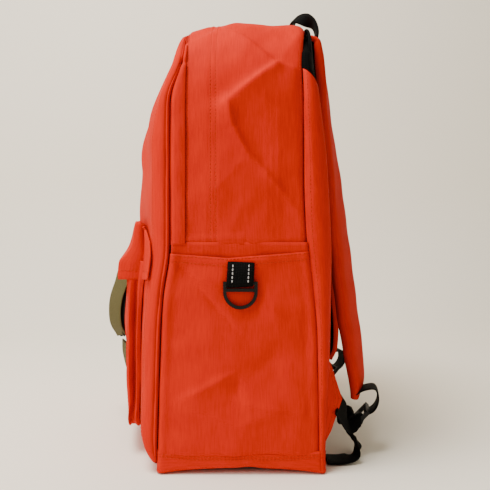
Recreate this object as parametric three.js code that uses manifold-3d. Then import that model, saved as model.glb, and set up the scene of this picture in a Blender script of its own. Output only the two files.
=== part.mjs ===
// A travel backpack: a soft shell that opens like a clamshell, side pockets with D-rings,
// a front pocket under a buckled flap, a haul handle and two padded shoulder straps.
// Millimetres. X is the pack's width, -Y its front, +Y its back, Z up from the floor.
import * as THREE from "three";
import { mergeVertices } from "three/addons/utils/BufferGeometryUtils.js";
import Module from "manifold-3d";

const wasm = await Module();
wasm.setup();

// Overall sizes.
const HALF_WIDTH = 148;
const HEIGHT = 446;
const SHOULDER_RADIUS = 100;
const FAR = 600; // reaches past the whole pack, for cutting

// Cloth and the clearance left between pieces that are sewn or pressed together.
const CLOTH = 2.2;
const GAP = 0.3;
const FOAM = 8;
const SHEET = 1.5;

// Heights of the seams.
const BASE_RIM = 17.7;
const SIDE_SEAM = 0.4843 * HEIGHT;
const POCKET_TOP = SIDE_SEAM - 10;
const REAR_GUSSET_TOP = HEIGHT - 65;
const FRONT_BOTTOM = 6;
const FOOT_RADIUS = 8;

// The zip that joins the front section to the pack.
const ZIP_HALF = 4;
const ZIP_STRIP = 13;

// Side pockets.
const SIDE_POCKET_ROOM = 6;
const SIDE_POCKET_FACE = HALF_WIDTH + 2.5;

// Front pocket and its flap.
const FRONT_POCKET = { halfWidth: HALF_WIDTH - 48, bottom: 25, top: 197, corner: 18 };
const POCKET_FACE = { middle: -121, side: -110 };
const FLAP = {
  halfWidth: FRONT_POCKET.halfWidth + 2,
  hingeY: -109.6,
  hingeZ: 233,
  foldZ: 194.5,
  bottom: 179,
  front: -126.5,
  sideBack: -93.5,
};

// Webbing and hardware.
const WEBBING = 25;
const WEBBING_THICKNESS = 1.6;
const RING = {
  halfWidth: WEBBING / 2 + 3.5,
  bar: 3,
  x: SIDE_POCKET_FACE + 3.4,
  y: 1,
  z: POCKET_TOP - 27,
  crossbar: 6.3, // below the bar in the tab
};
const RING_TAB = { top: 19, thinFrom: 7, eye: 2.3 };
const CLOSURE_STRAP = { width: 38, thickness: 2, twist: THREE.MathUtils.degToRad(24) };

const COLOUR = {
  orange: { color: 0xd9442a, roughness: 0.8, metalness: 0 },
  mesh: { color: 0x0b0b0b, roughness: 0.95, metalness: 0 },
  webbing: { color: 0x0a0a0a, roughness: 0.85, metalness: 0 },
  olive: { color: 0x70693f, roughness: 0.85, metalness: 0 },
  plastic: { color: 0x151312, roughness: 0.45, metalness: 0 },
  metal: { color: 0x1c1a19, roughness: 0.4, metalness: 0.8 },
  foam: { color: 0x2c2c2e, roughness: 0.95, metalness: 0 },
  board: { color: 0x3a3a3c, roughness: 0.6, metalness: 0 },
  lining: { color: 0x262627, roughness: 0.9, metalness: 0 },
};

const lerp = THREE.MathUtils.lerp;
const clamp = THREE.MathUtils.clamp;

// ---------------------------------------------------------------- solids

function solidOf(geometry) {
  const bare = geometry.clone();
  bare.deleteAttribute("normal");
  bare.deleteAttribute("uv");
  const merged = mergeVertices(bare, 1e-4);
  const vertProperties = Float32Array.from(merged.attributes.position.array);
  const triVerts = Uint32Array.from(merged.index.array);
  return new wasm.Manifold(new wasm.Mesh({ numProp: 3, vertProperties, triVerts }));
}

function geometryOf(solid) {
  const mesh = solid.getMesh();
  const geometry = new THREE.BufferGeometry();
  geometry.setAttribute("position", new THREE.BufferAttribute(mesh.vertProperties, 3));
  geometry.setIndex(new THREE.BufferAttribute(mesh.triVerts, 1));
  return geometry;
}

function box(x0, x1, y0, y1, z0, z1) {
  const geometry = new THREE.BoxGeometry(x1 - x0, y1 - y0, z1 - z0);
  geometry.translate((x0 + x1) / 2, (y0 + y1) / 2, (z0 + z1) / 2);
  return solidOf(geometry);
}

// An outline in X and Z, carried along Y.
function prismAlongY(shape, y0, y1) {
  const geometry = new THREE.ExtrudeGeometry(shape, {
    depth: y1 - y0,
    bevelEnabled: false,
    curveSegments: 7,
  });
  geometry.applyMatrix4(
    new THREE.Matrix4().makeBasis(
      new THREE.Vector3(1, 0, 0),
      new THREE.Vector3(0, 0, 1),
      new THREE.Vector3(0, -1, 0),
    ),
  );
  geometry.translate(0, y1, 0);
  return solidOf(geometry);
}

// An outline in Y and Z, carried along X.
function prismAlongX(shape, x0, x1) {
  const geometry = new THREE.ExtrudeGeometry(shape, {
    depth: x1 - x0,
    bevelEnabled: false,
    curveSegments: 10,
  });
  geometry.applyMatrix4(
    new THREE.Matrix4().makeBasis(
      new THREE.Vector3(0, 1, 0),
      new THREE.Vector3(0, 0, 1),
      new THREE.Vector3(1, 0, 0),
    ),
  );
  geometry.translate(x0, 0, 0);
  return solidOf(geometry);
}

function polygon(points) {
  return new THREE.Shape(points.map(([a, b]) => new THREE.Vector2(a, b)));
}

// A closed solid through rings of points. Every ring has the same even count, and its second
// half runs back along its first, so facing surfaces get the same diagonals and stay parallel.
function loft(rings) {
  const count = rings[0].length;
  const half = count / 2;
  const positions = rings.flat().flatMap((p) => [p.x, p.y, p.z]);
  const index = [];
  for (let i = 0; i + 1 < rings.length; i++) {
    for (let j = 0; j < count; j++) {
      const a = i * count + j;
      const b = i * count + ((j + 1) % count);
      if (j < half) index.push(a, b, b + count, a, b + count, a + count);
      else index.push(a, b, a + count, b, b + count, a + count);
    }
  }
  const last = (rings.length - 1) * count;
  for (let near = 0; near + 1 < half; near++) {
    const facing = count - 1 - near;
    index.push(near, facing - 1, near + 1, near, facing, facing - 1);
    index.push(last + near, last + near + 1, last + facing - 1);
    index.push(last + near, last + facing - 1, last + facing);
  }
  const geometry = new THREE.BufferGeometry();
  geometry.setAttribute("position", new THREE.Float32BufferAttribute(positions, 3));
  geometry.setIndex(index);
  return solidOf(geometry);
}

// A flat band through stations {at, across, width}: across is the way the band's width runs.
// low and high are the band's two faces, measured along its normal.
function ribbon(stations, low, high) {
  const rings = stations.map((station, i) => {
    const before = stations[Math.max(i - 1, 0)].at;
    const after = stations[Math.min(i + 1, stations.length - 1)].at;
    const along = after.clone().sub(before).normalize();
    const across = station.across.clone().addScaledVector(along, -station.across.dot(along));
    across.normalize();
    const normal = along.clone().cross(across);
    const corner = (side, height) =>
      station.at
        .clone()
        .addScaledVector(across, (side * station.width) / 2)
        .addScaledVector(normal, height);
    return [corner(1, high), corner(-1, high), corner(-1, low), corner(1, low)];
  });
  return loft(rings);
}

// The solid between two surfaces Y(x, z) over the whole front view.
function between(front, back, columns = 12, rows = 14) {
  const reach = HALF_WIDTH + 12;
  const xs = Array.from({ length: columns + 1 }, (_, i) => lerp(-reach, reach, i / columns));
  const zs = Array.from({ length: rows + 1 }, (_, i) => lerp(-4, HEIGHT + 10, i / rows));
  const rings = zs.map((z) => [
    ...xs.map((x) => new THREE.Vector3(x, front(x, z), z)),
    ...xs.toReversed().map((x) => new THREE.Vector3(x, back(x, z), z)),
  ]);
  return loft(rings);
}

// ---------------------------------------------------------------- the pack's form

// Straight-line interpolation through [input, output] knots.
function follow(knots, value) {
  const next = knots.findIndex(([input]) => value < input);
  if (next === 0) return knots[0][1];
  if (next < 0) return knots.at(-1)[1];
  const [a, fromA] = knots[next - 1];
  const [b, toB] = knots[next];
  return lerp(fromA, toB, (value - a) / (b - a));
}

// The lines below run up the pack: [share of its height, y].
// Where the front section meets the pack, seen from the side.
const PARTING = [[0, -77], [0.307, -73], [0.46, -64.5], [0.807, -64.5], [1, -52]];
const partingY = (x, z) => follow(PARTING, z / HEIGHT);

// The seam between the side panels and the back gussets.
const REAR_SEAM = [[0, 75], [0.307, 73], [0.587, 63], [1, 60]];
const rearSeamY = (x, z) => follow(REAR_SEAM, z / HEIGHT);

// The back of the pack.
const BACK = [[0, 80], [0.222, 85.5], [0.466, 88], [0.675, 83.5], [0.8, 76], [1, 66]];
const backY = (x, z) => follow(BACK, z / HEIGHT);

// The domed front: fullest in the middle, falling away to the sides and over the top.
const DOME = {
  middle: -108.6,
  side: -80,
  top: -56,
  flat: 20,
  shoulder: 0.673 * HEIGHT,
  fall: 1.3,
};
const TUCK = { depth: 14, height: 34 }; // the front curls under at its foot
const SHALLOWEST = 11; // the front section's least depth, where it runs out over the top
function frontY(x, z) {
  const over = Math.max(Math.abs(x) - DOME.flat, 0) / (HALF_WIDTH - DOME.flat);
  const up = Math.max(z - DOME.shoulder, 0) / (HEIGHT - DOME.shoulder);
  const out = Math.min(Math.hypot(over, up), 1);
  const rise = out > 0 ? (up / Math.hypot(over, up)) ** 2 : 0;
  const edge = lerp(DOME.side, DOME.top, rise);
  const tuck = TUCK.depth * clamp(1 - (z - FRONT_BOTTOM) / TUCK.height, 0, 1) ** 2;
  return Math.min(lerp(DOME.middle, edge, out ** DOME.fall) + tuck, partingY(x, z) - SHALLOWEST);
}

const shifted = (surface, by) => (x, z) => surface(x, z) + by;

// The arch seen from the front, drawn in by inset all round, with its bottom at a height.
function arch(inset, bottom = 0) {
  const half = HALF_WIDTH - inset;
  const top = HEIGHT - inset;
  const radius = SHOULDER_RADIUS - inset;
  const foot = FOOT_RADIUS;
  const low = bottom + inset;
  const shape = new THREE.Shape();
  shape.moveTo(-half + foot, low);
  shape.lineTo(half - foot, low);
  shape.absarc(half - foot, low + foot, foot, -Math.PI / 2, 0);
  shape.absarc(half - radius, top - radius, radius, 0, Math.PI / 2);
  shape.absarc(-half + radius, top - radius, radius, Math.PI / 2, Math.PI);
  shape.absarc(-half + foot, low + foot, foot, Math.PI, 1.5 * Math.PI);
  return prismAlongY(shape, -FAR / 2, FAR / 2);
}

// The arch's wall alone, as thick as said and with nothing inside it.
function archWall(inset, thickness, bottom = 0) {
  return arch(inset, bottom).subtract(arch(inset + thickness, bottom));
}

const layer = (z0, z1) => box(-FAR, FAR, -FAR, FAR, z0, z1);
const sideOf = (side) =>
  side > 0 ? box(0, FAR, -FAR, FAR, -FAR, FAR) : box(-FAR, 0, -FAR, FAR, -FAR, FAR);

// ---------------------------------------------------------------- the pack

function basePanel() {
  const outside = arch(0).intersect(between(shifted(partingY, GAP), backY));
  const inside = arch(CLOTH).intersect(
    between(shifted(partingY, GAP + CLOTH), shifted(backY, -CLOTH)),
  );
  return outside.subtract(inside).intersect(layer(-1, BASE_RIM));
}

const BASE_BOARD = { margin: 10, front: -70, back: 74, thickness: 2 };
function baseBoard() {
  const half = HALF_WIDTH - BASE_BOARD.margin;
  const bottom = CLOTH + GAP;
  return box(
    -half, half, BASE_BOARD.front, BASE_BOARD.back, bottom, bottom + BASE_BOARD.thickness,
  );
}

function upperGusset() {
  return archWall(0, CLOTH)
    .intersect(between(shifted(partingY, ZIP_HALF + ZIP_STRIP), rearSeamY))
    .intersect(layer(SIDE_SEAM, HEIGHT + 1));
}

function zipStrip() {
  const from = shifted(partingY, ZIP_HALF + GAP);
  const to = shifted(partingY, ZIP_HALF + ZIP_STRIP - GAP);
  return archWall(0, CLOTH)
    .intersect(between(from, to))
    .intersect(layer(SIDE_SEAM, HEIGHT + 1));
}

function lowerSide(side) {
  const face = SIDE_POCKET_FACE - CLOTH - SIDE_POCKET_ROOM;
  return box(face - CLOTH, face, -FAR, FAR, BASE_RIM + GAP, SIDE_SEAM - GAP)
    .intersect(between(shifted(partingY, ZIP_HALF + GAP), rearSeamY))
    .scale([side, 1, 1]);
}

// Sewn round three edges and open along the top.
function sidePocket(side) {
  const face = SIDE_POCKET_FACE;
  const root = face - CLOTH - SIDE_POCKET_ROOM + GAP;
  const bottom = BASE_RIM + GAP;
  const front = shifted(partingY, ZIP_HALF + GAP);
  const outside = box(root, face, -FAR, FAR, bottom, POCKET_TOP).intersect(
    between(front, rearSeamY),
  );
  const inside = box(root - 1, face - CLOTH, -FAR, FAR, bottom + CLOTH, POCKET_TOP + 1).intersect(
    between(shifted(front, CLOTH), shifted(rearSeamY, -CLOTH)),
  );
  return outside.subtract(inside).scale([side, 1, 1]);
}

function rearGusset(side) {
  return archWall(0, CLOTH)
    .intersect(between(shifted(rearSeamY, GAP), shifted(backY, -CLOTH - GAP)))
    .intersect(layer(BASE_RIM + GAP, REAR_GUSSET_TOP - GAP))
    .intersect(sideOf(side));
}

// Spacer mesh over the whole back, wrapping over the shoulders above the gussets.
function backMesh() {
  const face = between(shifted(backY, -CLOTH), backY);
  const wrap = archWall(0, CLOTH)
    .intersect(between(shifted(rearSeamY, GAP), shifted(backY, -CLOTH / 2)))
    .intersect(layer(REAR_GUSSET_TOP, HEIGHT + 1));
  return arch(0)
    .intersect(face)
    .intersect(layer(BASE_RIM + GAP, HEIGHT + 1))
    .add(wrap);
}

// A layer inside the back, narrow enough to pass between the side pockets.
const BACK_PAD = SIDE_POCKET_FACE - SIDE_POCKET_ROOM - 2 * CLOTH - GAP;
function backLayer(front, back) {
  return arch(CLOTH + GAP)
    .intersect(between(shifted(backY, front), shifted(backY, back)))
    .intersect(box(-BACK_PAD, BACK_PAD, -FAR, FAR, BASE_RIM + GAP, HEIGHT));
}

function backFoam() {
  return backLayer(-CLOTH - GAP - FOAM, -CLOTH - GAP);
}

function frameSheet() {
  const back = -CLOTH - 2 * GAP - FOAM;
  return backLayer(back - SHEET, back);
}

// A padded pocket in front of the frame sheet, open along the top.
const SLEEVE = {
  halfWidth: HALF_WIDTH - 23,
  front: 38,
  back: 64,
  wall: 5,
  bottom: BASE_RIM + 2,
  top: 0.65 * HEIGHT,
};
function laptopSleeve() {
  const { halfWidth, front, back, wall, bottom, top } = SLEEVE;
  const outside = box(-halfWidth, halfWidth, front, back, bottom, top);
  const inside = box(
    wall - halfWidth, halfWidth - wall, front + wall, back + 1, bottom + wall, top + 1,
  );
  return outside.subtract(inside);
}

// One half of the zip: a tape with its row of teeth, from the base round to the base.
function zipHalf(from, to) {
  return archWall(GAP, CLOTH - GAP)
    .intersect(between(shifted(partingY, from), shifted(partingY, to)))
    .intersect(layer(BASE_RIM + 3, HEIGHT + 1));
}

// The two zip sliders meet on the left side, above its pocket. Each is drawn lying flat, with
// its pull reaching out along +X, and then stood up against the side.
const SLIDER = { inner: 4, length: 9, halfWidth: 5, height: 3.5 };
const SLIDERS_MEET = 0.65 * HEIGHT;
const standAtLeft = (solid, side) =>
  solid
    .scale([side, 1, 1])
    .rotate([0, -90, 0])
    .translate([-HALF_WIDTH - GAP, partingY(0, SLIDERS_MEET), SLIDERS_MEET]);

const THROAT = { from: 3, halfWidth: 2.6, low: 1.1, high: 2.3 };
function zipSlider(side) {
  const { inner, length, halfWidth, height } = SLIDER;
  const end = inner + length;
  const body = box(inner, end, -halfWidth, halfWidth, 0, height);
  const throat = box(
    inner + THROAT.from, end + 1, -THROAT.halfWidth, THROAT.halfWidth, THROAT.low, THROAT.high,
  );
  return standAtLeft(body.subtract(throat), side);
}

const PULL = { from: 2, length: 32, halfWidth: 3, thickness: 1.6 };
function zipPull(side) {
  const { from, length, halfWidth, thickness } = PULL;
  const start = SLIDER.inner + from;
  const bottom = SLIDER.height + GAP;
  const pull = box(start, start + length, -halfWidth, halfWidth, bottom, bottom + thickness);
  return standAtLeft(pull, side);
}

// Two layers of webbing round the ring's bar, sewn together above it.
function ringTab(side) {
  const inner = SIDE_POCKET_FACE + GAP;
  const outer = 2 * RING.x - inner;
  const top = RING.z + RING_TAB.top;
  const loop = new THREE.Shape();
  loop.moveTo(inner, top);
  loop.lineTo(inner, RING.z);
  loop.absarc(RING.x, RING.z, RING.x - inner, Math.PI, 2 * Math.PI);
  loop.lineTo(outer, RING.z + RING_TAB.thinFrom);
  loop.lineTo(inner + WEBBING_THICKNESS, top);
  const eye = new THREE.Path();
  eye.absarc(RING.x, RING.z, RING_TAB.eye, 0, 2 * Math.PI);
  loop.holes.push(eye);
  return prismAlongY(loop, RING.y - WEBBING / 2, RING.y + WEBBING / 2).scale([side, 1, 1]);
}

// A D-ring: its bar on top in the tab, a crossbar under the tab, its bow hanging down.
function dRing(side) {
  const { halfWidth, bar, x, y, z, crossbar } = RING;
  const bowZ = z - 8;
  const bow = (half, top) => {
    const shape = new THREE.Shape();
    shape.moveTo(half, top);
    shape.lineTo(-half, top);
    shape.lineTo(-half, bowZ);
    shape.absarc(0, bowZ, half, Math.PI, 2 * Math.PI);
    shape.lineTo(half, top);
    return shape;
  };
  const inside = halfWidth - bar;
  const ring = bow(halfWidth, z + bar / 2);
  ring.holes.push(bow(inside, z - crossbar - bar / 2));
  const slotLow = z - crossbar + bar / 2;
  const slotHigh = z - bar / 2;
  ring.holes.push(
    polygon([[-inside, slotLow], [inside, slotLow], [inside, slotHigh], [-inside, slotHigh]]),
  );
  return prismAlongX(ring, x - bar / 2, x + bar / 2)
    .translate([0, y, 0])
    .scale([side, 1, 1]);
}

// The stitched triangle at the foot of the back that each strap's webbing leaves from.
const WING = { outline: [[81.6, 19], [89, 36], [99, 66], [88.6, 100]], thickness: 3.5, inset: 17 };
function wing(side) {
  const root = HALF_WIDTH - WING.inset;
  return prismAlongX(polygon(WING.outline), root, root + WING.thickness).scale([side, 1, 1]);
}

// ---------------------------------------------------------------- the front section

function frontGusset() {
  return archWall(0, CLOTH, FRONT_BOTTOM)
    .intersect(between(shifted(frontY, CLOTH + GAP), shifted(partingY, -ZIP_HALF - GAP)));
}

function frontPanel() {
  return arch(0, FRONT_BOTTOM).intersect(between(frontY, shifted(frontY, CLOTH)));
}

function frontLining() {
  return arch(CLOTH + GAP, FRONT_BOTTOM).intersect(
    between(shifted(partingY, -GAP - SHEET), shifted(partingY, -GAP)),
  );
}

const pocketY = (x) =>
  lerp(POCKET_FACE.middle, POCKET_FACE.side, (x / FRONT_POCKET.halfWidth) ** 2);

// The pocket's outline seen from the front, drawn in by inset on three edges.
function pocketOutline(inset, top) {
  const { halfWidth, bottom, corner } = FRONT_POCKET;
  const half = halfWidth - inset;
  const low = bottom + inset;
  const radius = corner - inset;
  const shape = new THREE.Shape();
  shape.moveTo(half, top);
  shape.lineTo(-half, top);
  shape.absarc(-half + radius, low + radius, radius, Math.PI, 1.5 * Math.PI);
  shape.absarc(half - radius, low + radius, radius, -Math.PI / 2, 0);
  return prismAlongY(shape, -FAR / 2, FAR / 2);
}

function pocketWall() {
  return pocketOutline(0, FRONT_POCKET.top)
    .subtract(pocketOutline(CLOTH, FRONT_POCKET.top + 1))
    .intersect(between(shifted(pocketY, CLOTH + GAP), shifted(frontY, -GAP)));
}

function pocketFace() {
  return pocketOutline(0, FRONT_POCKET.top).intersect(
    between(pocketY, shifted(pocketY, CLOTH)),
  );
}

// What lies on the pocket's face starts just off it.
const ON_POCKET = POCKET_FACE.middle - GAP - 0.1;

// The olive webbing on the pocket below the buckle.
const LOWER_STRAP = { bottom: 42, top: 101 };
function lowerStrap() {
  const { bottom, top } = LOWER_STRAP;
  const half = CLOSURE_STRAP.width / 2;
  const face = ON_POCKET - WEBBING_THICKNESS;
  const outline = [[ON_POCKET, bottom], [ON_POCKET, top - 1], [face, top], [face, bottom]];
  return prismAlongX(polygon(outline), -half, half);
}

// The buckle's fixed half, with its edges sloped off.
const BUCKLE = { bottom: 102, top: 154, baseDepth: 5.4, baseHalf: 15, hookHalf: 14 };
function buckleBase() {
  const { bottom, top, baseDepth, baseHalf } = BUCKLE;
  const face = ON_POCKET - baseDepth;
  const outline = [
    [ON_POCKET, bottom],
    [ON_POCKET, top - 2],
    [face + 1.8, top],
    [face, top - 4],
    [face, bottom + 2],
    [face + 2.8, bottom],
  ];
  return prismAlongX(polygon(outline), -baseHalf, baseHalf);
}

// ---------------------------------------------------------------- the flap

function flapCover() {
  const { hingeY, hingeZ, foldZ, bottom, front, halfWidth } = FLAP;
  const outline = polygon([
    [hingeY, hingeZ],
    [front, foldZ],
    [front, bottom],
    [front + CLOTH, bottom],
    [front + CLOTH, foldZ - 1],
    [hingeY, hingeZ - 4],
  ]);
  return prismAlongX(outline, -halfWidth, halfWidth);
}

// The end of the flap, closing it against the front section.
function flapSide(side) {
  const { hingeY, hingeZ, foldZ, bottom, front, halfWidth, sideBack } = FLAP;
  const inside = front + CLOTH + GAP;
  const outline = polygon([
    [hingeY + 0.4, hingeZ - 5.5],
    [inside, foldZ - 2.2],
    [inside, bottom],
    [sideBack - 1.5, bottom],
    [sideBack, hingeZ - 6],
  ]);
  return prismAlongX(outline, halfWidth - CLOTH + 1, halfWidth + 1)
    .subtract(between(shifted(frontY, -GAP), () => FAR / 2))
    .scale([side, 1, 1]);
}

// The olive webbing that leaves the flap, bows out over the buckle and turns back under it.
// The strap is sewn on flat and then twists; the path is that of its rear edge.
function closureStrap() {
  const { width, thickness, twist } = CLOSURE_STRAP;
  const across = new THREE.Vector3(-Math.cos(twist), -Math.sin(twist), 0);
  const sewnOn = { at: new THREE.Vector3(0, -129, 189), across: new THREE.Vector3(-1, 0, 0), width };
  const rearEdge = [
    [-126.3, 177], [-132.8, 158], [-135.8, 140], [-136.3, 124], [-134.8, 112], [-132.3, 103],
  ];
  const hanging = rearEdge.map(([y, z]) => ({
    at: new THREE.Vector3(0, y - (width / 2) * Math.sin(twist), z),
    across,
    width,
  }));
  return ribbon([sewnOn, ...hanging], -thickness / 2, thickness / 2);
}

// The buckle's other half, which hooks over the fixed one.
function buckleHook() {
  const { bottom, top, baseDepth, hookHalf } = BUCKLE;
  const back = ON_POCKET - baseDepth - GAP - 0.1;
  const front = back - 4.8;
  const outline = [
    [back, bottom + 4],
    [back, top - 4],
    [back - 1.4, top + 2],
    [front, top - 2],
    [front, bottom + 6],
    [back - 2.3, bottom + 1],
  ];
  return prismAlongX(polygon(outline), -hookHalf, hookHalf);
}

// ---------------------------------------------------------------- handle and straps

// A loop of webbing that turns as it arches, both ends sewn above the back:
// [x, y, height above the pack's top, then the direction across it in x and y].
const HANDLE_LINE = [
  [50, 86, -7, 1, 0],
  [50, 86, 6, 1, 0],
  [36, 82, 22, 0.8, 0.6],
  [10, 75, 28, 0.3, 0.95],
  [-18, 72, 26, 0, 1],
  [-42, 76, 15, 0.1, 1],
  [-54, 83, 4, 0.7, 0.7],
  [-56, 86, -7, 1, 0],
];
function haulHandle() {
  const stations = HANDLE_LINE.map(([x, y, up, acrossX, acrossY]) => ({
    at: new THREE.Vector3(x, y, HEIGHT + up),
    across: new THREE.Vector3(acrossX, acrossY, 0),
    width: WEBBING * 0.8,
  }));
  return ribbon(stations, -WEBBING_THICKNESS / 2, WEBBING_THICKNESS / 2);
}

// Down the inside of a shoulder strap:
// [share of the pack's half width, y, share of the way up from the tip, width, turn in degrees].
const STRAP_LINE = [
  [0.304, 63, 1, 58, 0],
  [0.304, 73, 0.984, 60, 0],
  [0.311, 79, 0.94, 62, 0],
  [0.338, 88, 0.798, 62, 3],
  [0.392, 95, 0.627, 62, 5],
  [0.459, 104, 0.415, 60, 8],
  [0.534, 112, 0.213, 54, 10],
  [0.588, 115, 0.063, 42, 13],
  [0.608, 109, 0, 30, 16],
];
const STRAP_DEPTH = 2 * CLOTH + 2 * GAP + FOAM;
const STRAP_TIP_Z = 56;
const STRAP_TIP_X = STRAP_LINE.at(-1)[0] * HALF_WIDTH;
const STRAP_ROOT_Z = HEIGHT - 9;

// One layer of a shoulder strap, between two depths under its outer face.
function strapLayer(side, low, high) {
  const stations = STRAP_LINE.map(([out, y, up, width, turn]) => {
    const angle = THREE.MathUtils.degToRad(turn);
    return {
      at: new THREE.Vector3(
        out * HALF_WIDTH, y + STRAP_DEPTH, lerp(STRAP_TIP_Z, STRAP_ROOT_Z, up),
      ),
      across: new THREE.Vector3(-Math.cos(angle), Math.sin(angle), 0),
      width,
    };
  });
  return ribbon(stations, low, high).scale([side, 1, 1]);
}

// From the pad's tip out and down to the top bar of the ladder lock.
function strapLink(side) {
  const path = [[0, 129.5, 57.5], [0.5, 137, 62], [1, 142, 55], [1.5, 138.5, 47.5]];
  const stations = path.map(([out, y, z]) => ({
    at: new THREE.Vector3(STRAP_TIP_X + out, y, z),
    across: new THREE.Vector3(-1, 0.25, 0),
    width: WEBBING,
  }));
  return ribbon(stations, -WEBBING_THICKNESS / 2, WEBBING_THICKNESS / 2).scale([side, 1, 1]);
}

// A flat plastic frame with two slots, leaning back towards the pack.
const LOCK = {
  at: [STRAP_TIP_X + 2, 134, 45],
  halfWidth: 16,
  length: 30,
  thickness: 4,
  rim: 3,
  slot: 7,
  slotTops: [-4, -17],
  lean: 42,
  turn: -12,
};
function ladderLock(side) {
  const { at, halfWidth, length, thickness, rim, slot, slotTops, lean, turn } = LOCK;
  let frame = box(-halfWidth, halfWidth, -thickness / 2, thickness / 2, -length, 0);
  for (const top of slotTops) {
    frame = frame.subtract(box(rim - halfWidth, halfWidth - rim, -FAR, FAR, top - slot, top));
  }
  return frame
    .rotate([-lean, 0, 0])
    .rotate([0, 0, turn])
    .translate(at)
    .scale([side, 1, 1]);
}

// From the wing's tip to the lock, and the free end from the lock down onto the floor.
// [distance in from the pack's side, y, z, how squarely it faces back].
const ANCHOR_LINE = [
  [21, 97, 60, 0.5],
  [25, 101, 50, 0.8],
  [30, 104, 34, 1],
  [31, 105, 18, 1],
  [31, 103, 8, 1],
  [31, 99, 3, 1],
  [31, 93, 1.3, 1],
  [31, 85, 1.3, 1],
];
function anchorWebbing(side) {
  const stations = ANCHOR_LINE.map(([inset, y, z, flat]) => ({
    at: new THREE.Vector3(HALF_WIDTH - inset, y, z),
    across: new THREE.Vector3(-flat, 0, flat - 1),
    width: WEBBING,
  }));
  return ribbon(stations, -WEBBING_THICKNESS / 2, WEBBING_THICKNESS / 2).scale([side, 1, 1]);
}

// ---------------------------------------------------------------- the whole backpack

const backpack = new THREE.Group();
backpack.name = "travel_backpack";

function place(name, solid, colour) {
  const mesh = new THREE.Mesh(geometryOf(solid), new THREE.MeshStandardMaterial(COLOUR[colour]));
  mesh.name = name;
  backpack.add(mesh);
}

place("base_panel", basePanel(), "orange");
place("base_board", baseBoard(), "board");
place("upper_gusset", upperGusset(), "orange");
place("zip_strip", zipStrip(), "orange");
place("back_mesh", backMesh(), "mesh");
place("back_foam", backFoam(), "foam");
place("frame_sheet", frameSheet(), "board");
place("laptop_sleeve", laptopSleeve(), "lining");
place("zip_half_pack", zipHalf(GAP / 2, ZIP_HALF), "webbing");

place("front_gusset", frontGusset(), "orange");
place("front_panel", frontPanel(), "orange");
place("front_lining", frontLining(), "lining");
place("zip_half_front", zipHalf(-ZIP_HALF, -GAP / 2), "webbing");
place("front_pocket_wall", pocketWall(), "orange");
place("front_pocket_face", pocketFace(), "orange");
place("lower_strap", lowerStrap(), "olive");
place("buckle_base", buckleBase(), "plastic");

place("flap_cover", flapCover(), "orange");
place("closure_strap", closureStrap(), "olive");
place("buckle_hook", buckleHook(), "plastic");
place("haul_handle", haulHandle(), "webbing");

for (const [which, side] of [["upper", 1], ["lower", -1]]) {
  place(`zip_slider_${which}`, zipSlider(side), "metal");
  place(`zip_pull_${which}`, zipPull(side), "metal");
}

for (const [hand, side] of [["right", 1], ["left", -1]]) {
  place(`lower_side_${hand}`, lowerSide(side), "orange");
  place(`side_pocket_${hand}`, sidePocket(side), "orange");
  place(`rear_gusset_${hand}`, rearGusset(side), "orange");
  place(`ring_tab_${hand}`, ringTab(side), "webbing");
  place(`d_ring_${hand}`, dRing(side), "plastic");
  place(`wing_${hand}`, wing(side), "orange");
  place(`flap_side_${hand}`, flapSide(side), "orange");
  place(`strap_cover_${hand}`, strapLayer(side, -CLOTH, 0), "orange");
  place(`strap_foam_${hand}`, strapLayer(side, -CLOTH - GAP - FOAM, -CLOTH - GAP), "foam");
  place(
    `strap_mesh_${hand}`,
    strapLayer(side, -STRAP_DEPTH, CLOTH - STRAP_DEPTH),
    "mesh",
  );
  place(`strap_link_${hand}`, strapLink(side), "webbing");
  place(`ladder_lock_${hand}`, ladderLock(side), "plastic");
  place(`anchor_webbing_${hand}`, anchorWebbing(side), "webbing");
}

export default backpack;
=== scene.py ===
"""The looks of a travel backpack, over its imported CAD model. Shapes are worked out in millimetres."""

import math

import bpy
import numpy as np
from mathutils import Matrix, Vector


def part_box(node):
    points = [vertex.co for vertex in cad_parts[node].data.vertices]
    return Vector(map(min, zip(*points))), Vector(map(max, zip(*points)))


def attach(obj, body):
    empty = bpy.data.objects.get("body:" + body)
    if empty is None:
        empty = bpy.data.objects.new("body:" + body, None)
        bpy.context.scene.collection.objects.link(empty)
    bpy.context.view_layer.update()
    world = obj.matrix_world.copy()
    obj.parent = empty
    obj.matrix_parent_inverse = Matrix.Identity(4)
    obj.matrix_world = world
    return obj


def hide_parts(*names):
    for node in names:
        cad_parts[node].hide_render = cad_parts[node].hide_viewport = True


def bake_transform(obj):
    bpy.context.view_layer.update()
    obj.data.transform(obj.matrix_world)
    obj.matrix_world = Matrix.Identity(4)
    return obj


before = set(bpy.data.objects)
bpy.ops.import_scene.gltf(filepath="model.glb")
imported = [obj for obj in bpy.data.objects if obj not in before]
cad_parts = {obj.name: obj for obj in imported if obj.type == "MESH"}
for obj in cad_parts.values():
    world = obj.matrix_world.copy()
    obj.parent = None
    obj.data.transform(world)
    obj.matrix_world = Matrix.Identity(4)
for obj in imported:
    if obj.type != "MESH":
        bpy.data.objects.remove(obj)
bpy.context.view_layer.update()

MM = 0.001
SIDES = {"right": 1, "left": -1}

# The form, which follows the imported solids.
HALF_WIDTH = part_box("upper_gusset")[1][0] / MM
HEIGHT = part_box("upper_gusset")[1][2] / MM
SHOULDER = 100
SIDE_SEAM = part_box("upper_gusset")[0][2] / MM
POCKET_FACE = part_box("side_pocket_right")[1][0] / MM
BASE_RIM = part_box("base_panel")[1][2] / MM
FRONT_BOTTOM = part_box("front_panel")[0][2] / MM
WEBBING = 25


# ---------------------------------------------------------------- curves and cloth surfaces

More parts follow.
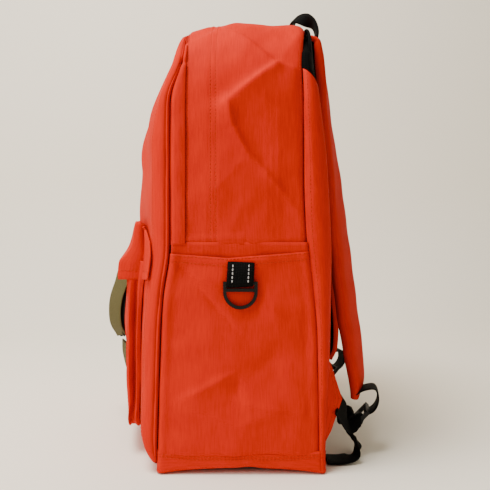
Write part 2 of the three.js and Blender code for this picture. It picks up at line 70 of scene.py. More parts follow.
def smooth_curve(knots, blur=9):
    """A function through (input, output) knots with its corners rounded over about blur."""
    at = np.arange(-80.0, 560.0)
    values = np.interp(at, *zip(*knots))
    reach = np.arange(-3 * blur, 3 * blur + 1)
    kernel = np.exp(-0.5 * (reach / blur) ** 2)
    padded = np.pad(values, 3 * blur, mode="edge")
    rounded = np.convolve(padded, kernel / kernel.sum(), "valid")
    return lambda z: np.interp(z, at, rounded)


# Seen from the side, by height: the line where the front section meets the pack, the line
# beside the zip strip, the rear seam and the back.
parting = smooth_curve([(0, -77), (75, -75), (137, -73), (168, -71), (205, -64.5), (355, -64.5),
                        (390, -52), (446, -50)], 7)
STRIP_Y = -51
strip_edge = smooth_curve([(0, STRIP_Y), (446, STRIP_Y)])
rear_seam = smooth_curve([(0, 75), (60, 74.5), (137, 73), (180, 69), (220, 63), (262, 61), (446, 60)])
back = smooth_curve([(0, 80), (99, 85.5), (208, 88), (301, 83.5), (357, 76), (446, 66)], 14)


def arch_line(step, low):
    """The arch from the right foot over the top to the left foot, as x, z, outward normals and
    the length along it. low is the height of both feet."""
    half, top, radius = HALF_WIDTH, HEIGHT, SHOULDER
    shoulder_z = top - radius
    rise, turn, flat = shoulder_z - low, radius * math.pi / 2, 2 * (half - radius)
    total = 2 * rise + 2 * turn + flat
    s = np.linspace(0, total, int(total / step) + 1)
    x, z, nx, nz = (np.zeros_like(s) for _ in range(4))
    for i, d in enumerate(s):
        mirrored = d > total / 2
        d = total - d if mirrored else d
        if d < rise:
            px, pz, ax, az = half, low + d, 1.0, 0.0
        elif d < rise + turn:
            angle = (d - rise) / radius
            ax, az = math.cos(angle), math.sin(angle)
            px, pz = half - radius + radius * ax, shoulder_z + radius * az
        else:
            px, pz, ax, az = half - radius - (d - rise - turn), top, 0.0, 1.0
        sign = -1 if mirrored else 1
        x[i], z[i], nx[i], nz[i] = sign * px, pz, sign * ax, az
    return x, z, nx, nz, s


def seam_over_top(x, z):
    """The rear seam's y: it runs further back where the arch turns over the top."""
    return rear_seam(z) + 14 * np.clip((HALF_WIDTH - 8 - np.abs(x)) / 70, 0, 1) * (z > HEIGHT - SHOULDER)


def back_face(x, z):
    """The back's y: its middle stays full right up to the top."""
    middle = np.clip(1 - (np.abs(x) / (HALF_WIDTH - 10)) ** 4, 0, 1)
    return back(z) + middle * np.interp(z, [280, 360, 446], [1.0, 5.0, 13.0])


def over_top(z, start=400, reach=36):
    """How far a height has come over the arch's shoulders, 0 to 1."""
    return np.clip((z - start) / reach, 0, 1)


def off_the_arch(x, z, nx, nz, y, lift):
    """The grid of a cloth that stands lift outside the arch, at depths y."""
    return np.stack([x[:, None] + nx[:, None] * lift, y, z[:, None] + nz[:, None] * lift], -1)


def ripples(a, b, seed, wave, height):
    """Gentle unevenness over the two coordinates of a cloth, the same for the same seed."""
    rng = np.random.default_rng(seed)
    total = np.zeros(np.broadcast(a, b).shape)
    for _ in range(7):
        angle, phase, stretch = rng.uniform(0, math.pi), rng.uniform(0, 6.28), rng.uniform(0.7, 1.7)
        total += np.sin((a * math.cos(angle) + b * math.sin(angle)) * 6.28 * stretch / wave + phase)
    return total * height / 3


def crease(a, b, start, end, height, right, left, tip=0.9):
    """A sharp fold in a cloth from start to end: it falls away within right millimetres on
    its right-hand side and within left millimetres on the other."""
    along = np.subtract(end, start)
    length = float(np.hypot(*along))
    t = ((a - start[0]) * along[0] + (b - start[1]) * along[1]) / length
    off = ((a - start[0]) * along[1] - (b - start[1]) * along[0]) / length
    width = np.where(off > 0, right, left)
    past = np.maximum(np.maximum(-t, t - length), 0) / 7
    body = 0.45 + 0.55 * np.sin(np.clip(t / length, 0, 1) * math.pi)
    fall = np.exp(-(np.sqrt(off**2 + tip**2) - tip) / width)
    return height * fall * body * np.exp(-past**2)


def seam_dip(distance, depth, width):
    """How far cloth is drawn in beside a seam."""
    return -depth * np.exp(-(distance / width) ** 2)


def lengths_along(points):
    """The distance along a line of points, from its first, at each of them."""
    return np.concatenate([[0], np.cumsum(np.linalg.norm(np.diff(points, axis=0), axis=1))])


def points_at(s, points, at):
    """The points of a line at the given distances along it."""
    return np.stack([np.interp(at, s, points[:, k]) for k in range(points.shape[1])], 1)


def unit(vectors):
    return vectors / np.maximum(np.linalg.norm(vectors, axis=-1, keepdims=True), 1e-9)


def normals_of(grid):
    down, across = np.gradient(grid, axis=0), np.gradient(grid, axis=1)
    return unit(np.cross(down, across))


def new_object(name, vertices, faces, uvs=None):
    mesh = bpy.data.meshes.new(name)
    mesh.from_pydata((np.asarray(vertices) * MM).tolist(), [], faces)
    if uvs is not None:
        layer = mesh.uv_layers.new(name="cloth")
        loops = np.zeros(len(mesh.loops), np.int32)
        mesh.loops.foreach_get("vertex_index", loops)
        layer.data.foreach_set("uv", uvs[loops].ravel())
    mesh.polygons.foreach_set("use_smooth", [True] * len(mesh.polygons))
    obj = bpy.data.objects.new(name, mesh)
    bpy.context.scene.collection.objects.link(obj)
    return obj


def cloth(name, grid, body, material, replaces=(), thick=1.4, outward=None, lining=None):
    """A sheet of cloth through a grid of points. outward is a point that its outside looks away
    from; lining is the material of its inside; with no body, the caller says what it follows. UVs
    are millimetres along the cloth."""
    rows, columns = grid.shape[:2]
    if outward is not None:
        middle = grid[rows // 2, columns // 2] - np.asarray(outward, float)
        if np.dot(normals_of(grid)[rows // 2, columns // 2], middle) < 0:
            grid = grid[:, ::-1]
    index = np.arange(rows * columns).reshape(rows, columns)
    faces = np.stack([index[:-1, :-1], index[1:, :-1], index[1:, 1:], index[:-1, 1:]], -1)
    faces = faces.reshape(-1, 4)
    down = np.linalg.norm(np.diff(grid, axis=0), axis=2).mean(1)
    across = np.linalg.norm(np.diff(grid, axis=1), axis=2).mean(0)
    v = np.concatenate([[0], np.cumsum(down)])
    u = np.concatenate([[0], np.cumsum(across)])
    uvs = np.stack(np.meshgrid(u, v), -1).reshape(-1, 2)
    obj = new_object(name, grid.reshape(-1, 3), faces.tolist(), uvs)
    obj.data.materials.append(material)
    if thick:
        solid = obj.modifiers.new("thickness", "SOLIDIFY")
        solid.thickness = thick * MM
        solid.offset = -1
        solid.use_even_offset = False
        if lining is not None:
            obj.data.materials.append(lining)
            solid.material_offset = 1
    if body:
        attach(obj, body)
    if replaces:
        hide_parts(*([replaces] if isinstance(replaces, str) else replaces))
    return obj


# ---------------------------------------------------------------- materials

def linear(red, green, blue, alpha=1.0):
    """An sRGB colour, 0 to 255, as the shader's linear one."""
    def channel(value):
        value /= 255
        return value / 12.92 if value <= 0.04045 else ((value + 0.055) / 1.055) ** 2.4
    return (channel(red), channel(green), channel(blue), alpha)


def shader(name, colour, roughness, specular=0.3, sheen=0.0):
    material = bpy.data.materials.new(name)
    material.use_nodes = True
    surface = material.node_tree.nodes["Principled BSDF"]
    surface.inputs["Base Color"].default_value = colour
    surface.inputs["Roughness"].default_value = roughness
    surface.inputs["Specular IOR Level"].default_value = specular
    surface.inputs["Sheen Weight"].default_value = sheen
    surface.inputs["Sheen Roughness"].default_value = 0.3
    return material, material.node_tree.nodes, material.node_tree.links, surface


def node(nodes, kind, **settings):
    made = nodes.new(kind)
    for key, value in settings.items():
        if key in made.inputs:
            made.inputs[key].default_value = value
        else:
            setattr(made, key, value)
    return made


def tones(nodes, links, source, dark, light, at=(0.0, 1.0)):
    """A colour that runs from dark to light over the source's values."""
    ramp = node(nodes, "ShaderNodeValToRGB")
    for i, colour in enumerate((dark, light)):
        ramp.color_ramp.elements[i].position = at[i]
        ramp.color_ramp.elements[i].color = colour
    links.new(source, ramp.inputs["Fac"])
    return ramp.outputs["Color"]


def multiplied(nodes, links, first, second, amount):
    mix = node(nodes, "ShaderNodeMixRGB", blend_type="MULTIPLY", Fac=amount)
    links.new(first, mix.inputs["Color1"])
    links.new(second, mix.inputs["Color2"])
    return mix.outputs["Color"]


def relief(nodes, links, surface, source, strength, height):
    """Bumps a surface by the source's values. height is in millimetres."""
    bump = node(nodes, "ShaderNodeBump", Strength=strength, Distance=height * MM)
    links.new(source, bump.inputs["Height"])
    links.new(bump.outputs["Normal"], surface.inputs["Normal"])


def worn(nodes, links, surface, source, low, high):
    """The roughness wanders between two values."""
    wear = node(nodes, "ShaderNodeMapRange", **{"To Min": low, "To Max": high})
    links.new(source, wear.inputs["Value"])
    links.new(wear.outputs["Result"], surface.inputs["Roughness"])


BANDS = 0.314  # the wave texture's scale at which its bands are a millimetre apart


def woven(name, dark, light, pitch, roughness, bump=0.35, depth=0.12, sheen=0.0):
    """Plain-woven cloth. pitch is the thread spacing in millimetres, along the cloth's own UVs."""
    material, nodes, links, surface = shader(name, light, roughness, 0.05, sheen)
    place = node(nodes, "ShaderNodeUVMap", uv_map="cloth").outputs["UV"]
    weave = node(nodes, "ShaderNodeMath", operation="MULTIPLY")
    for slot, direction in enumerate("XY"):
        wave = node(nodes, "ShaderNodeTexWave", bands_direction=direction, wave_profile="SIN",
                    **{"Scale": BANDS / pitch, "Distortion": 1.2, "Detail": 1.0, "Detail Scale": 0.6})
        links.new(place, wave.inputs["Vector"])
        links.new(wave.outputs["Fac"], weave.inputs[slot])
    noise = node(nodes, "ShaderNodeTexNoise", Scale=0.035, Detail=5.0, Roughness=0.6)
    links.new(place, noise.inputs["Vector"])
    dyed = tones(nodes, links, noise.outputs["Fac"], dark, light, (0.2, 0.8))
    between = tones(nodes, links, weave.outputs[0], (0.55, 0.5, 0.5, 1), (1, 1, 1, 1))
    slub = node(nodes, "ShaderNodeTexNoise", Scale=0.9, Detail=3.0)
    stretch = node(nodes, "ShaderNodeMapping", Scale=(1.0, 0.06, 1.0))
    links.new(place, stretch.inputs["Vector"])
    links.new(stretch.outputs["Vector"], slub.inputs["Vector"])
    streak = tones(nodes, links, slub.outputs["Fac"], (0.8, 0.74, 0.74, 1), (1, 1, 1, 1), (0.3, 0.6))
    shaded = multiplied(nodes, links, dyed, between, 0.28)
    links.new(multiplied(nodes, links, shaded, streak, 0.7), surface.inputs["Base Color"])
    total = node(nodes, "ShaderNodeMath", operation="MULTIPLY_ADD")
    total.inputs[1].default_value = 0.5
    links.new(slub.outputs["Fac"], total.inputs[0])
    links.new(weave.outputs[0], total.inputs[2])
    relief(nodes, links, surface, total.outputs[0], bump, depth)
    worn(nodes, links, surface, noise.outputs["Fac"], roughness - 0.08, roughness + 0.1)
    return material


def webbing_material(name, dark, light, roughness=0.7):
    """Webbing: slanting ribs across its width, over the lines of its warp."""
    material, nodes, links, surface = shader(name, light, roughness, 0.06)
    place = node(nodes, "ShaderNodeUVMap", uv_map="cloth").outputs["UV"]
    ribs = node(nodes, "ShaderNodeTexWave", bands_direction="Y", wave_profile="SIN",
                **{"Scale": BANDS / 1.5, "Distortion": 3.0, "Detail Scale": 0.9})
    warp = node(nodes, "ShaderNodeTexWave", bands_direction="X", wave_profile="SIN", Scale=BANDS / 2.2)
    for wave in (ribs, warp):
        links.new(place, wave.inputs["Vector"])
    both = node(nodes, "ShaderNodeMath", operation="MULTIPLY_ADD")
    both.inputs[1].default_value = 0.6
    links.new(warp.outputs["Fac"], both.inputs[0])
    links.new(ribs.outputs["Fac"], both.inputs[2])
    links.new(tones(nodes, links, both.outputs[0], dark, light), surface.inputs["Base Color"])
    relief(nodes, links, surface, both.outputs[0], 0.6, 0.35)
    return material


def spacer_mesh_material(name):
    """Black knitted mesh with rows of small round openings."""
    material, nodes, links, surface = shader(name, linear(10, 10, 10), 0.9, 0.05)
    place = node(nodes, "ShaderNodeUVMap", uv_map="cloth").outputs["UV"]
    cells = node(nodes, "ShaderNodeTexVoronoi", feature="F1", Scale=0.42, Randomness=0.15)
    links.new(place, cells.inputs["Vector"])
    distance = cells.outputs["Distance"]
    holes = tones(nodes, links, distance, linear(2, 2, 2), linear(9, 9, 9), (0.25, 0.5))
    links.new(holes, surface.inputs["Base Color"])
    relief(nodes, links, surface, distance, 0.8, 0.7)
    return material


def moulded(name, colour, roughness, metallic=0.0, grain=900.0):
    """Fine-grained plastic, or painted metal, a little shinier where it has been rubbed."""
    material, nodes, links, surface = shader(name, colour, roughness, 0.2)
    surface.inputs["Metallic"].default_value = metallic
    place = node(nodes, "ShaderNodeTexCoord").outputs["Object"]
    fine = node(nodes, "ShaderNodeTexNoise", Scale=grain, Detail=3.0)
    broad = node(nodes, "ShaderNodeTexNoise", Scale=60.0, Detail=4.0)
    for noise in (fine, broad):
        links.new(place, noise.inputs["Vector"])
    worn(nodes, links, surface, broad.outputs["Fac"], roughness - 0.12, roughness + 0.12)
    relief(nodes, links, surface, fine.outputs["Fac"], 0.25, 0.1)
    return material


ORANGE = woven("orange_oxford", linear(198, 29, 8), linear(214, 38, 12), 0.75, 0.7)
LINING = woven("dark_lining", linear(30, 30, 31), linear(42, 42, 43), 0.6, 0.75, sheen=0.05)
OLIVE = webbing_material("olive_webbing", linear(62, 57, 34), linear(92, 85, 52))
BLACK_WEBBING = webbing_material("black_webbing", linear(1, 1, 1), linear(7, 7, 7))
MESH = spacer_mesh_material("black_spacer_mesh")
PLASTIC = moulded("black_plastic", linear(9, 8, 8), 0.5)
PAINTED_METAL = moulded("black_painted_metal", linear(26, 25, 25), 0.38, 0.6, 300.0)
BOARD = moulded("dark_board", linear(58, 58, 60), 0.6)
THREAD = woven("orange_thread", linear(176, 40, 18), linear(206, 56, 28), 0.3, 0.6)
GREY_THREAD = woven("grey_thread", linear(150, 150, 152), linear(196, 196, 198), 0.3, 0.6)


# ---------------------------------------------------------------- stitching

def along_column(grid, fraction):
    """The points and normals down a grid at a fraction of the way across it."""
    at = fraction * (grid.shape[1] - 1)
    low = int(min(math.floor(at), grid.shape[1] - 2))
    mix = at - low
    normals = normals_of(grid)
    return (grid[:, low] * (1 - mix) + grid[:, low + 1] * mix,
            normals[:, low] * (1 - mix) + normals[:, low + 1] * mix)


def along_row(grid, fraction):
    points, normals = along_column(grid.swapaxes(0, 1), fraction)
    return points, -normals


def add_prism(vertices, faces, rings):
    """A closed bar through rings of points, all in the same turning order."""
    first, count = len(vertices), len(rings[0])
    for ring in rings:
        vertices.extend(ring)
    for level in range(len(rings) - 1):
        for k in range(count):
            a = first + level * count + k
            b = first + level * count + (k + 1) % count
            faces.append((a, b, b + count, a + count))
    last = len(vertices) - count
    faces.append(tuple(first + count - 1 - k for k in range(count)))
    faces.append(tuple(last + k for k in range(count)))


def stitches(name, lines, body, material, away_from, pitch=3.6, length=2.5, radius=0.32):
    """Rows of thread, one small rounded bar for each stitch. lines are (points, normals)."""
    vertices, faces = [], []
    for points, normals in lines:
        s = lengths_along(points)
        centres = np.arange(pitch, s[-1] - pitch / 2, pitch)
        at = points_at(s, points, centres)
        ahead = unit(points_at(s, points, centres + 1) - at)
        up = unit(points_at(s, normals, centres))
        for p, t, n in zip(at, ahead, up):
            if np.dot(n, p - away_from) < 0:
                n = -n
            side = np.cross(t, n)
            rings = []
            for part, swell in ((-0.5, 0.35), (-0.3, 1.0), (0.3, 1.0), (0.5, 0.35)):
                middle = p + t * part * length
                turns = [(math.cos(k * math.pi / 3), math.sin(k * math.pi / 3)) for k in range(6)]
                rings.append([middle + (side * c * 1.3 + n * q) * radius * swell for c, q in turns])
            add_prism(vertices, faces, rings)
    uvs = np.asarray(vertices)[:, 1:]
    obj = new_object(name, vertices, faces, uvs)
    obj.data.materials.append(material)
    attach(obj, body)
    return obj


CENTRE = np.array([0.0, 0.0, 220.0])
FRONT_CENTRE = np.array([0.0, -60.0, 200.0])


# ---------------------------------------------------------------- ribbons

def oval(angles, flatness, fullness):
    """The two sides of a flattened oval: how far out and how far up at each angle."""
    out, up = np.cos(angles), np.sin(angles)
    return np.sign(out) * np.abs(out) ** flatness, np.sign(up) * np.abs(up) ** fullness


def ribbon_grid(stations, width, thick, samples=40):
    """A closed flat tube round a path. stations are (point, direction across)."""
    points = np.array([p for p, _ in stations], float)
    across = np.array([a for _, a in stations], float)
    knots = lengths_along(points)
    s = np.linspace(0, knots[-1], samples)
    centre = smooth_points(knots, points, s)
    wide = smooth_points(knots, across, s)
    tangent = unit(np.gradient(centre, axis=0))
    wide -= tangent * (wide * tangent).sum(1, keepdims=True)
    wide = unit(wide)
    normal = np.cross(tangent, wide)
    widths = np.interp(s / s[-1], np.linspace(0, 1, len(np.atleast_1d(width))), np.atleast_1d(width))
    flat, tall = oval(np.linspace(0, 2 * math.pi, 29), 0.35, 0.8)
    return (centre[:, None] + wide[:, None] * (flat[None, :, None] * widths[:, None, None] / 2)
            + normal[:, None] * tall[None, :, None] * thick / 2)


def spline(knots, values, at):
    """A smooth line through the values (cubic, with Catmull-Rom slopes)."""
    slopes = np.gradient(values, knots)
    i = np.clip(np.searchsorted(knots, at) - 1, 0, len(knots) - 2)
    h = knots[i + 1] - knots[i]
    t = (at - knots[i]) / h
    return ((2 * t**3 - 3 * t**2 + 1) * values[i] + (t**3 - 2 * t**2 + t) * h * slopes[i]
            + (-2 * t**3 + 3 * t**2) * values[i + 1] + (t**3 - t**2) * h * slopes[i + 1])


def smooth_points(knots, points, at):
    """A smooth line through points in space."""
    return np.stack([spline(knots, points[:, k], at) for k in range(3)], 1)


def ribbon(name, stations, width, thick, body, material, replaces=(), samples=40):
    """Webbing: a flat tube with closed, sealed ends."""
    grid = ribbon_grid(stations, width, thick, samples)
    caps = [grid[:1].mean(1, keepdims=True).repeat(grid.shape[1], 1),
            grid[-1:].mean(1, keepdims=True).repeat(grid.shape[1], 1)]
    grid = np.concatenate([caps[0], grid, caps[1]])
    return cloth(name, grid, body, material, replaces, thick=0)


# ---------------------------------------------------------------- the pack's cloth

# The folds of the upper side panel, as crease takes them: start, end, height (a hollow has a
# negative one), how far it falls away on the right and on the left, and how blunt it is.
SIDE_CREASES = [
    ((-16, 440), (35, 384), 3.4, 22, 2.6, 0.5),
    ((35, 384), (-12, 350), 4.2, 2.2, 26, 0.5),
    ((-12, 352), (-6, 325), 3.0, 12, 4),
    ((-6, 327), (8, 300), 3.0, 14, 3.5),
    ((8, 302), (30, 277), 3.0, 15, 3),
    ((30, 279), (52, 250), 1.6, 9, 5),
    ((38, 384), (60, 380), 1.2, 12, 4),
    ((60, 430), (38, 388), 1.2, 9, 12),
    ((6, 300), (-30, 258), 0.8, 14, 5),
    ((46, 276), (40, 222), -1.8, 12, 14, 4),
    ((-30, 352), (-12, 356), -1.2, 7, 7, 3),
]


def side_folds(y, h, seed):
    """The creases that the cloth keeps on the upper side panel. h is measured up the cloth."""
    lift = sum(crease(y, h, *fold) for fold in SIDE_CREASES)
    for line in (25, 30, 36):
        lift += crease(y, h, (line, 350), (line + 1, 222), 0.35, 2.2, 1.2, 0.5)
    return lift + ripples(y, h, seed, 95, 0.5) + ripples(y, h, seed + 50, 34, 0.16)


TOP_LINE = [(-51, -9), (-47, -5), (-27, -0.5), (-17, -0.5), (-2, 2.0), (14, 2.6), (35, 1.4), (55, 1.2),
            (66, -0.5), (72, -4), (76, -9)]


def upper_gusset():
    x, z, nx, nz, s = arch_line(2.2, SIDE_SEAM - 1.5)
    v = np.linspace(0, 1, 64)
    rear = seam_over_top(x, z)
    y = strip_edge(z)[:, None] + (rear - strip_edge(z))[:, None] * v
    h = (np.where(s < s[-1] / 2, s, s[-1] - s) + SIDE_SEAM)[:, None]
    over = over_top(z)[:, None]
    lift = (3.0 - 2.4 * over) * np.sin(math.pi * v) ** 0.7
    lift += over * np.interp(y, *zip(*TOP_LINE))
    folds = np.where(x[:, None] > 0, side_folds(y, h, 3), side_folds(y, h, 11))
    lift += 1.8 * folds * np.minimum(1, np.sin(math.pi * v) * 4)
    lift += seam_dip(y - rear[:, None], 2.0, 3.0)
    for line in (-27, -22):
        lift += seam_dip(y - line, 0.75, 1.1)
    lift += seam_dip(h - SIDE_SEAM, 1.2, 3.0)
    lift += 0.7 / (1 + np.exp((h - SIDE_SEAM - 8 - 0.02 * (y - STRIP_Y)) * 3)) * (y < 5)
    grid = off_the_arch(x, z, nx, nz, y, lift)
    cloth("upper_gusset_cloth", grid, "pack", ORANGE, "upper_gusset", outward=CENTRE, lining=LINING)
    span = rear_seam(300) - STRIP_Y
    lines = [along_column(grid, (line - STRIP_Y) / span) for line in (-27, -22, -48.5)]
    lines.append(along_column(grid, 0.975))
    stitches("gusset_stitching", lines, "pack", THREAD, CENTRE)


def zip_strip():
    """The narrow strip beside the zip, whose free edge hides the teeth."""
    x, z, nx, nz, s = arch_line(2.2, SIDE_SEAM - 1.5)
    v = np.linspace(0, 1, 16)
    front = parting(z) + 0.9
    y = front[:, None] + (strip_edge(z) + 0.6 - front)[:, None] * v
    h = (np.where(s < s[-1] / 2, s, s[-1] - s) + SIDE_SEAM)[:, None]
    over = over_top(z)[:, None]
    lift = 0.6 + 1.3 * np.sin(math.pi * np.clip(v * 0.9, 0, 1)) - 9 * over
    lift -= 3.0 * np.exp(-((v * 13) / 1.6) ** 2)
    lift += ripples(y, h, 21, 60, 0.5)
    lift += seam_dip(h - 389, 2.4, 3.0) + seam_dip(h - 418, 1.8, 3.0)
    grid = off_the_arch(x, z, nx, nz, y, lift)
    cloth("zip_strip_cloth", grid, "pack", ORANGE, "zip_strip", thick=1.2, outward=CENTRE)
    stitches("zip_strip_stitching", [along_column(grid, 0.86)], "pack", THREAD, CENTRE)


def zip_half(name, node_name, body, towards):
    """A zip tape with its row of moulded teeth, set back under the edge of the cloth."""
    x, z, nx, nz, _ = arch_line(2.0, BASE_RIM + 4)
    edge = parting(z)
    offsets = towards * np.array([0.6, 2.0, 4.0, 7.0, 9.0])
    inset = -4.0 - 13 * over_top(z, 395)
    lift = np.repeat(inset[:, None], len(offsets), 1)
    grid = off_the_arch(x, z, nx, nz, edge[:, None] + offsets, lift)
    cloth(name, grid, body, BLACK_WEBBING, node_name, thick=0.8, outward=CENTRE)
    over_tape = inset + 0.6
    line = np.stack([x + nx * over_tape, edge + towards * 1.1, z + nz * over_tape], 1)
    teeth_row(name + "_teeth", line, np.stack([nx, 0 * nx, nz], 1), towards, body)


def teeth_row(name, points, normals, towards, body, pitch=1.8):
    """One rounded block for each tooth, standing over the tape's edge."""
    s = lengths_along(points)
    centres = np.arange(0.5 * pitch * (1 + (towards > 0)), s[-1], pitch)
    at = points_at(s, points, centres)
    ahead = unit(points_at(s, points, centres + 1) - at)
    up = points_at(s, normals, centres)
    side = np.array([0.0, 1.0, 0.0])
    vertices, faces = [], []
    for p, t, n in zip(at, ahead, up):
        add_prism(vertices, faces, [
            [p + t * a * 0.5 * grow + side * b * 1.1 * grow + n * height
             for a, b in ((-1, -1), (1, -1), (1, 1), (-1, 1))]
            for height, grow in ((-0.5, 1.0), (0.35, 1.0), (0.7, 0.6))])
    obj = new_object(name, vertices, faces, np.asarray(vertices)[:, 1:])
    obj.data.materials.append(PLASTIC)
    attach(obj, body)


def lower_side(hand):
    """The side behind the pocket: level with the panel above it at the seam, then set back."""
    side = SIDES[hand]
    z = np.linspace(BASE_RIM - 3, SIDE_SEAM + 1.0, 60)
    v = np.linspace(0, 1, 50)
    y = (parting(z) + 1.2)[:, None] + (rear_seam(z) - parting(z) - 1.2)[:, None] * v
    x = np.interp(z, [0, 120, 196, 217], [141.5, 141.5, 147.6, 149.2])[:, None] + 0 * y
    x += 0.8 * np.sin(math.pi * v) + ripples(y, z[:, None], 31, 60, 0.25)
    grid = np.stack([side * x, y, z[:, None] + 0 * y], -1)
    cloth(f"lower_side_cloth_{hand}", grid, "pack", ORANGE, f"lower_side_{hand}", outward=CENTRE,
          lining=LINING)


# The folds of the side pocket, in the same form.
POCKET_CREASES = [
    ((-55, 194), (-4, 136), -1.5, 9, 2.2),
    ((-38, 190), (6, 146), 1.0, 8, 14),
    ((-52, 72), (-6, 95), 2.2, 18, 4),
    ((-2, 94), (0, 70), -2.0, 16, 4, 2),
    ((2, 68), (56, 57), 2.0, 10, 7, 2),
    ((-50, 66), (-2, 46), 1.6, 7, 14, 2),
    ((-2, 46), (34, 58), 1.2, 12, 7, 2),
    ((2, 82), (40, 120), -1.5, 18, 10, 3),
    ((26, 160), (44, 138), 1.3, 10, 10, 4),
    ((10, 165), (4, 120), -1.0, 12, 12, 4),
    ((62, 190), (66, 60), -1.4, 6, 8, 3),
]


def pocket_folds(y, z, seed):
    """The creases of the side pocket: a long one down from its front corner, and crossed ones."""
    lift = sum(crease(y, z, *fold) for fold in POCKET_CREASES)
    return lift + ripples(y, z, seed, 80, 0.5) + ripples(y, z, seed + 9, 30, 0.18)


def side_pocket(hand, seed):
    side = SIDES[hand]
    v = np.linspace(0, 1, 84)
    y_top = np.interp(v, [0, 0.42, 1], [206.3, 202.4, 208.4])
    rows = np.linspace(0, 1, 104)
    low = BASE_RIM - 1.5
    z = low + (y_top - low) * rows[:, None]
    front, rear = parting(z) + 0.5, rear_seam(z)
    y = front + (rear - front) * v
    x = POCKET_FACE - 1.2 + 3.0 * np.sin(math.pi * v) ** 0.8 * np.sin(
        math.pi * np.clip(rows, 0, 1) ** 0.8)[:, None] ** 0.5
    x += 1.9 * pocket_folds(y, z, seed) * np.minimum(1, 4 * np.sin(math.pi * v))
    x -= 2.0 * np.exp(-((y - front) / 1.4) ** 2) + 2.2 * np.exp(-((rear - y) / 2.4) ** 2)
    x += 1.0 * np.exp(-(((y - front) - 5) / 3.0) ** 2)
    x += 0.9 / (1 + np.exp(-(z - y_top + 8.5) / 0.35)) + 0.9 * rows[:, None] ** 6
    x += seam_dip(z - y_top + 7.6, 0.6, 1.1)
    x += seam_dip(z - low, 1.6, 2.5)
    grid = np.stack([side * x, y, z], -1)
    cloth(f"side_pocket_cloth_{hand}", grid, "pack", ORANGE, f"side_pocket_{hand}", thick=1.5,
          outward=CENTRE)
    span = (y_top - low).mean()
    lines = [along_row(grid, 1 - 7.6 / span), along_row(grid, 1 - 1.6 / span)]
    stitches(f"side_pocket_stitching_{hand}", lines, "pack", THREAD, CENTRE)


def rear_gusset(hand, seed):
    """The rounded edge between the side and the back, full and smooth."""
    side = SIDES[hand]
    t = np.linspace(0, 1, 36)
    rows = np.linspace(0, 1, 130)
    top = 381.0 - 23 * t**1.05
    low = BASE_RIM - 1.5
    z = low + (top - low) * rows[:, None]
    angle = t * math.pi / 2
    out, around = np.cos(angle) ** 0.55, np.sin(angle) ** 0.85
    y = rear_seam(z) + (back(z) + 1.5 - rear_seam(z)) * around
    arch_in = np.maximum(z - (HEIGHT - SHOULDER), 0)
    drawn = SHOULDER - np.sqrt(np.maximum(SHOULDER**2 - arch_in**2, 0))
    x = 124 + (HALF_WIDTH + 1.5 - 124) * out - drawn
    x += 1.2 * np.sin(math.pi * np.clip(t * 1.6, 0, 1))
    x -= 1.8 * np.exp(-((t * 26) / 1.8) ** 2)
    x += ripples(z, y, seed, 70, 0.5) + crease(z, y, (330, 66), (240, 72), 0.8, 3, 5)
    grid = np.stack([side * x, y, z], -1)
    cloth(f"rear_gusset_cloth_{hand}", grid, "pack", ORANGE, f"rear_gusset_{hand}",
          outward=CENTRE, lining=LINING)
    stitches(f"rear_gusset_stitching_{hand}", [along_column(grid, 0.1)], "pack", THREAD, CENTRE)


def half_width_at(z, inset):
    """How far the arch reaches to each side at a height."""
    up = np.clip(z - (HEIGHT - SHOULDER), 0, SHOULDER - 0.5)
    return HALF_WIDTH - SHOULDER + np.sqrt(SHOULDER**2 - up**2) - inset


def back_pad():
    """Spacer mesh over foam: a raised pad with a channel down the middle and two across."""
    z = np.linspace(BASE_RIM + 1, HEIGHT - 4, 150)[:, None]
    u = np.linspace(-1, 1, 110)
    x = u * half_width_at(z, 13 - 7 * np.clip((z - 372) / 40, 0, 1))
    y = back_face(x, z) - 3.0 + 3.5 * (1 - u**4) - 3.5 * np.exp(-((u * 130) / 7) ** 2)
    for height in (150, 265):
        y = y - 3.0 * np.exp(-((z - height + 0.12 * np.abs(x)) / 5) ** 2) * (1 - u**6)
    y = y + ripples(x, z, 41, 60, 0.5) - 3.0 * np.clip((z - 425) / 20, 0, 1) ** 2
    grid = np.stack([x, y, z + 0 * x], -1)
    pad = cloth("back_pad_mesh", grid, "pack", MESH, ("back_mesh", "back_foam"), thick=2.5,
                outward=CENTRE)


def back_wrap():
    """The mesh carried round over the shoulders to the rear seam."""
    x, z, nx, nz, _ = arch_line(3.0, 366)
    v = np.linspace(0, 1, 16)
    seam = seam_over_top(x, z)
    y = (seam - 2.0)[:, None] + (back_face(x, z) + 2.0 - seam)[:, None] * v
    lift = -1.6 + 0.8 * np.sin(math.pi * v) - 9.0 * v ** 4 + 0 * y
    lift -= 12 * over_top(z)[:, None]
    grid = off_the_arch(x, z, nx, nz, y, lift)
    cloth("back_wrap_mesh", grid, "pack", MESH, thick=2.0, outward=CENTRE)


